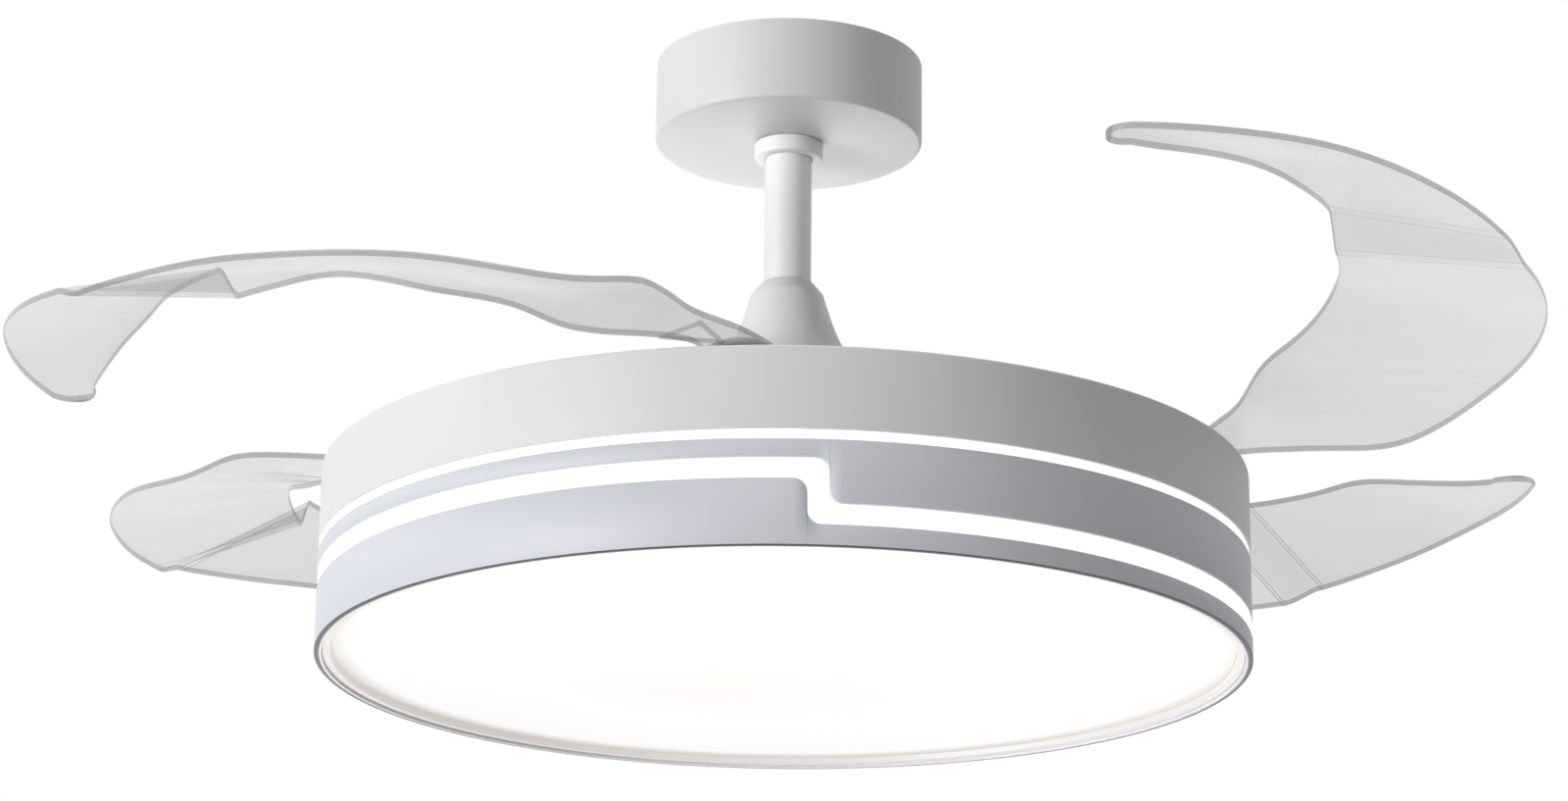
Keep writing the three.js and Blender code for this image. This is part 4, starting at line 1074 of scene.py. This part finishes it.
@dataclass
class Blade:
    """One clear blade with its hub, clamp ring and cap, at its opening angle."""

    number: int
    opening: float
    phase: float = -7.7
    shape: BladeShape = field(default_factory=BladeShape)
    seat_gap: float = 0.3
    hub_bore: float = 5.3
    hub_radius: float = 22.0
    flange: float = 3.0
    neck_radius: float = 9.0
    neck_rise: float = 2.2
    clamp_radius: float = 18.0
    clamp_height: float = 2.5
    cap_bore: float = 5.6
    cap_radius: float = 12.0
    cap_height: float = 3.2

    @property
    def place(self) -> Matrix:
        """Takes a piece on +X to this blade's quarter of the rotor."""
        return Matrix.Rotation(math.radians(self.phase - 90 * (self.number - 1)), 4, "Z")

    @property
    def turn(self) -> Matrix:
        """Takes the folded blade on +X to its place and opening.

        Returns:
            The movement about the fan's axis, in metres.
        """
        pivot = Matrix.Translation((self.shape.pivot_radius * 0.001, 0, 0))
        swing = Matrix.Rotation(math.radians(self.opening), 4, "Z")
        return self.place @ (pivot @ swing @ pivot.inverted())

    def _spot(self, angle: float, radius: float, height: float) -> Vector:
        """A point of the folded blade, taken to its place.

        Args:
            angle: Degrees clockwise from the pivot.
            radius: Distance from the folded blade's centre.
            height: Height above the drum's foot.

        Returns:
            The point in the row frame.
        """
        spin = math.radians(-angle)
        return self.turn @ lifted(radius * math.cos(spin), radius * math.sin(spin), height)

    def _section(self, angle: float) -> list[Point]:
        """Section of the sheet at one angle, with a raised lip along both edges.

        Args:
            angle: Degrees clockwise from the pivot.

        Returns:
            Radius and height of each point, in the order of the edge marks.
        """
        shape = self.shape
        inner, outer = shape.edges(angle)
        outer = max(outer - shape.side_gap, inner)
        base, pitch = shape.lay(angle)
        half, lip = shape.thickness / 2, shape.lip
        width = min(shape.lip_width, max((outer - inner) * 0.2, 0.001))
        bevel = min(shape.bevel, max((outer - inner) * 0.1, 0.0005))
        across = ((inner, half - bevel), (inner + bevel, half + lip), (inner + width, half + lip),
                  (inner + width * 1.5, half), (outer - width * 1.5, half),
                  (outer - width, half + lip), (outer - bevel, half + lip), (outer, half - bevel))
        level = [(r, base - pitch * (r - shape.pivot_radius), up) for r, up in across]
        return ([(r, z - up) for r, z, up in level]
                + [(r, z + up) for r, z, up in reversed(level)])

    def _rib(self) -> list[Vector]:
        """Lays out the raised triangle under the narrow arm.

        Returns:
            Its corners: the outer and the inner three, first low and then high.
        """
        shape = self.shape
        start, end = shape.rib_angles
        (near_in, near_out), (far_in, far_out) = shape.edges(start), shape.edges(end)
        corners = ((start, (near_in + near_out) / 2), (end, far_in + shape.rib_margin),
                   (end, far_out - shape.rib_margin))
        under = shape.root_level - shape.thickness / 2
        points = []
        for height in (under - shape.rib_depth, under + shape.rib_sink):
            ring = [self._spot(angle, radius, height) for angle, radius in corners]
            middle = sum(ring, Vector()) / 3
            points += ring + [middle + (p - middle) * shape.rib_taper for p in ring]
        return points

    def sheet(self) -> None:
        """Builds the blade's sheet, its walls and creases in a darker finish of painted shade."""
        stations = self.shape.stations()
        points, faces, parts = [], [], []
        for angle in stations:
            points += [self._spot(angle, r, z) for r, z in self._section(angle)]
        count = 16
        walls = (0, 6, 7, 8, 14, 15)
        for i in range(len(stations) - 1):
            crease = stations[i + 1] - stations[i] < self.shape.crease_width * 1.01
            for j in range(count):
                k = (j + 1) % count
                faces.append((i * count + j, i * count + k, (i + 1) * count + k,
                              (i + 1) * count + j))
                # Edge walls and fold creases get painted shade.
                parts.append(1 if j in walls or crease else 0)
        for end in (0, (len(stations) - 1) * count):
            faces.append(tuple(end + j for j in range(count)))
            parts.append(1)
        base = len(points)
        points += self._rib()
        for i in range(3):
            j = (i + 1) % 3
            for quad in ((i, j, j + 3, i + 3), (i + 6, i + 9, j + 9, j + 6),
                         (i, i + 6, j + 6, j), (i + 3, j + 3, j + 9, i + 9)):
                faces.append(tuple(base + k for k in quad))
                parts.append(0)
        slots = [paint(Look.CLEAR_BLADE), paint(Look.BLADE_EDGE)]
        piece = make_mesh(f"clear_blade_{self.number}", points, faces, slots, 28.0, parts)
        own(piece, f"blade_arm_{self.number}", Look.CLEAR_BLADE, f"blade_{self.number}")

    def fittings(self) -> None:
        """Builds the hub, the clamp ring and the cap on the pivot."""
        shape, n, bore, neck = self.shape, self.number, self.hub_bore, self.neck_radius
        centre = self.place @ Vector((shape.pivot_radius, 0, 0))
        lathe = Lathe(f"blade_arm_{n}", 64, (centre.x, centre.y))
        seat, top = (shape.root_level + side * (shape.thickness / 2 + self.seat_gap)
                     for side in (-1, 1))
        lathe.cut(f"hub_{n}", rounded([
            (bore, seat - self.flange, 0.3), (self.hub_radius, seat - self.flange, 1.2),
            (self.hub_radius, seat, 0.4), (neck, seat, 0.3), (neck, top + self.neck_rise, 0.4),
            (bore, top + self.neck_rise, 0.3)]), Look.WHITE_PLASTIC, f"blade_hub_{n}")
        hole, over = neck + self.seat_gap, top + self.clamp_height
        lathe.cut(f"clamp_{n}", rounded([
            (hole, top, 0.3), (self.clamp_radius, top, 0.3), (self.clamp_radius, over, 0.9),
            (hole, over, 0.3)]), Look.WHITE_PLASTIC, f"blade_clamp_{n}")
        foot = over + self.seat_gap
        lathe.cut(f"cap_{n}", [(0.0, foot + 2), *rounded([
            (self.cap_bore, foot + 2, 0.2), (self.cap_bore, foot, 0.2), (self.cap_radius, foot, 0.3),
            (self.cap_radius, foot + self.cap_height, 1.6)]), (0.0, foot + 4)],
            Look.WHITE_PLASTIC, f"pivot_cap_{n}")

    def build(self) -> None:
        """Builds the blade and its fittings."""
        self.sheet()
        self.fittings()


# ---- carried-over nodes
@dataclass
class InnerWorks:
    """CAD nodes whose shape is right: they only get their finish."""

    def dress(self) -> None:
        """Gives each shown CAD node the material of its slot in the record."""
        slots = {entry["node"]: entry["material_slot"] for entry in frame["record"]["subparts"]}
        for name, node in frame["nodes"].items():
            if node.hide_render:
                continue
            material = paint(Look(slots[name]))
            if not node.data.materials:
                node.data.materials.append(material)
            for slot in node.material_slots:
                slot.material = material
            LOG.info("dressed %s as %s", name, slots[name])


# ---- studio
@dataclass
class Studio:
    """Camera, lamps, floor and white surroundings."""

    distance: float = 2.2
    below_foot: float = -0.53635
    pitch: float = 17.333
    yaw: float = -0.03
    roll: float = 0.60
    lens: float = 4310.5 / 1600 * 36
    ambient: float = 0.07
    floor_level: float = -1.5
    floor_size: float = 30.0

    def camera(self) -> None:
        """Places the camera below and in front of the fan, looking up at it."""
        pitch, yaw, roll = (math.radians(a) for a in (self.pitch, self.yaw, self.roll))
        ahead = Vector((math.sin(yaw) * math.cos(pitch), math.cos(yaw) * math.cos(pitch),
                        math.sin(pitch)))
        level = Vector((math.cos(yaw), -math.sin(yaw), 0.0))
        upright = level.cross(ahead)
        right = level * math.cos(roll) + upright * math.sin(roll)
        up = upright * math.cos(roll) - level * math.sin(roll)
        data = bpy.data.cameras.new("camera")
        data.sensor_width = 36.0
        data.lens = self.lens
        data.clip_start, data.clip_end = 0.01, 50.0
        camera = bpy.data.objects.new("camera", data)
        turn = Matrix((right, up, -ahead)).transposed().to_4x4()
        camera.matrix_world = (Matrix.Translation((0.0, -self.distance,
                                                   DRUM_FOOT + self.below_foot)) @ turn)
        bpy.context.scene.collection.objects.link(camera)
        bpy.context.scene.camera = camera

    @staticmethod
    def lamp(name: str, towards: Colour, power: float, spread: float,
             colour: Colour = (1.0, 1.0, 1.0)) -> None:
        """Adds a far soft lamp.

        Args:
            name: The lamp's name.
            towards: Direction from the fan to the lamp.
            power: Its strength.
            spread: Its apparent size in degrees.
            colour: Its colour.
        """
        data = bpy.data.lights.new(name, "SUN")
        data.energy = power
        data.angle = math.radians(spread)
        data.color = colour
        lamp = bpy.data.objects.new(name, data)
        lamp.rotation_mode = "QUATERNION"
        lamp.rotation_quaternion = Vector(towards).to_track_quat("Z", "Y")
        bpy.context.scene.collection.objects.link(lamp)

    def surroundings(self) -> None:
        """Makes the world: soft grey light, seen as white by camera, gloss and glass."""
        world = bpy.data.worlds.new("surroundings")
        bpy.context.scene.world = world
        bench = Bench(world)
        seen = bench.seen_by("Is Camera Ray", "Is Glossy Ray", "Is Transmission Ray")
        soft = bench.add("ShaderNodeBackground", {}, {
            "Color": (1.0, 0.985, 0.97, 1.0), "Strength": self.ambient})
        white = bench.add("ShaderNodeBackground", {}, {
            "Color": (1.0, 1.0, 1.0, 1.0), "Strength": 1.0})
        both = bench.add("ShaderNodeMixShader", {}, {"Fac": seen, 1: soft, 2: white})
        bench.add("ShaderNodeOutputWorld", {}, {"Surface": both})

    def floor(self) -> None:
        """Lays a plain pale floor well below the fan."""
        size, level = self.floor_size, self.floor_level
        mesh = bpy.data.meshes.new("floor")
        mesh.from_pydata([(-size, -size, level), (size, -size, level), (size, size, level),
                          (-size, size, level)], [], [(0, 1, 2, 3)])
        mesh.materials.append(FloorPaint().build("floor"))
        floor = bpy.data.objects.new("floor", mesh)
        floor.visible_shadow = False
        bpy.context.scene.collection.objects.link(floor)

    def build(self) -> None:
        """Sets up everything round the fan."""
        self.camera()
        warm = (1.0, 0.98, 0.96)
        self.lamp("key_left", (-0.78, -0.58, -0.14), 2.9, 24.0)
        self.lamp("low_fill", (-0.1, 0.0, -0.99), 0.9, 60.0, warm)
        self.lamp("low_back", (-0.12, 0.85, -0.5), 3.1, 48.0, warm)
        self.lamp("rim_right", (0.98, -0.1, 0.1), 0.55, 30.0, warm)
        self.lamp("top_soft", (-0.15, -0.1, 0.98), 1.5, 40.0)
        self.surroundings()
        self.floor()
        bpy.context.scene.view_settings.view_transform = "Standard"


def main() -> None:
    """Builds the studio and the fan."""
    logging.basicConfig(level=logging.INFO, format="%(message)s")
    Studio().build()
    LampDrum().build()
    Suspension(Lathe("fixed", 96)).build()
    RotorTop().build()
    for number, opening in enumerate((86.0, 65.0, 92.0, 83.0), start=1):
        Blade(number, opening).build()
    InnerWorks().dress()
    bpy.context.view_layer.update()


if __name__ == "__main__":
    main()
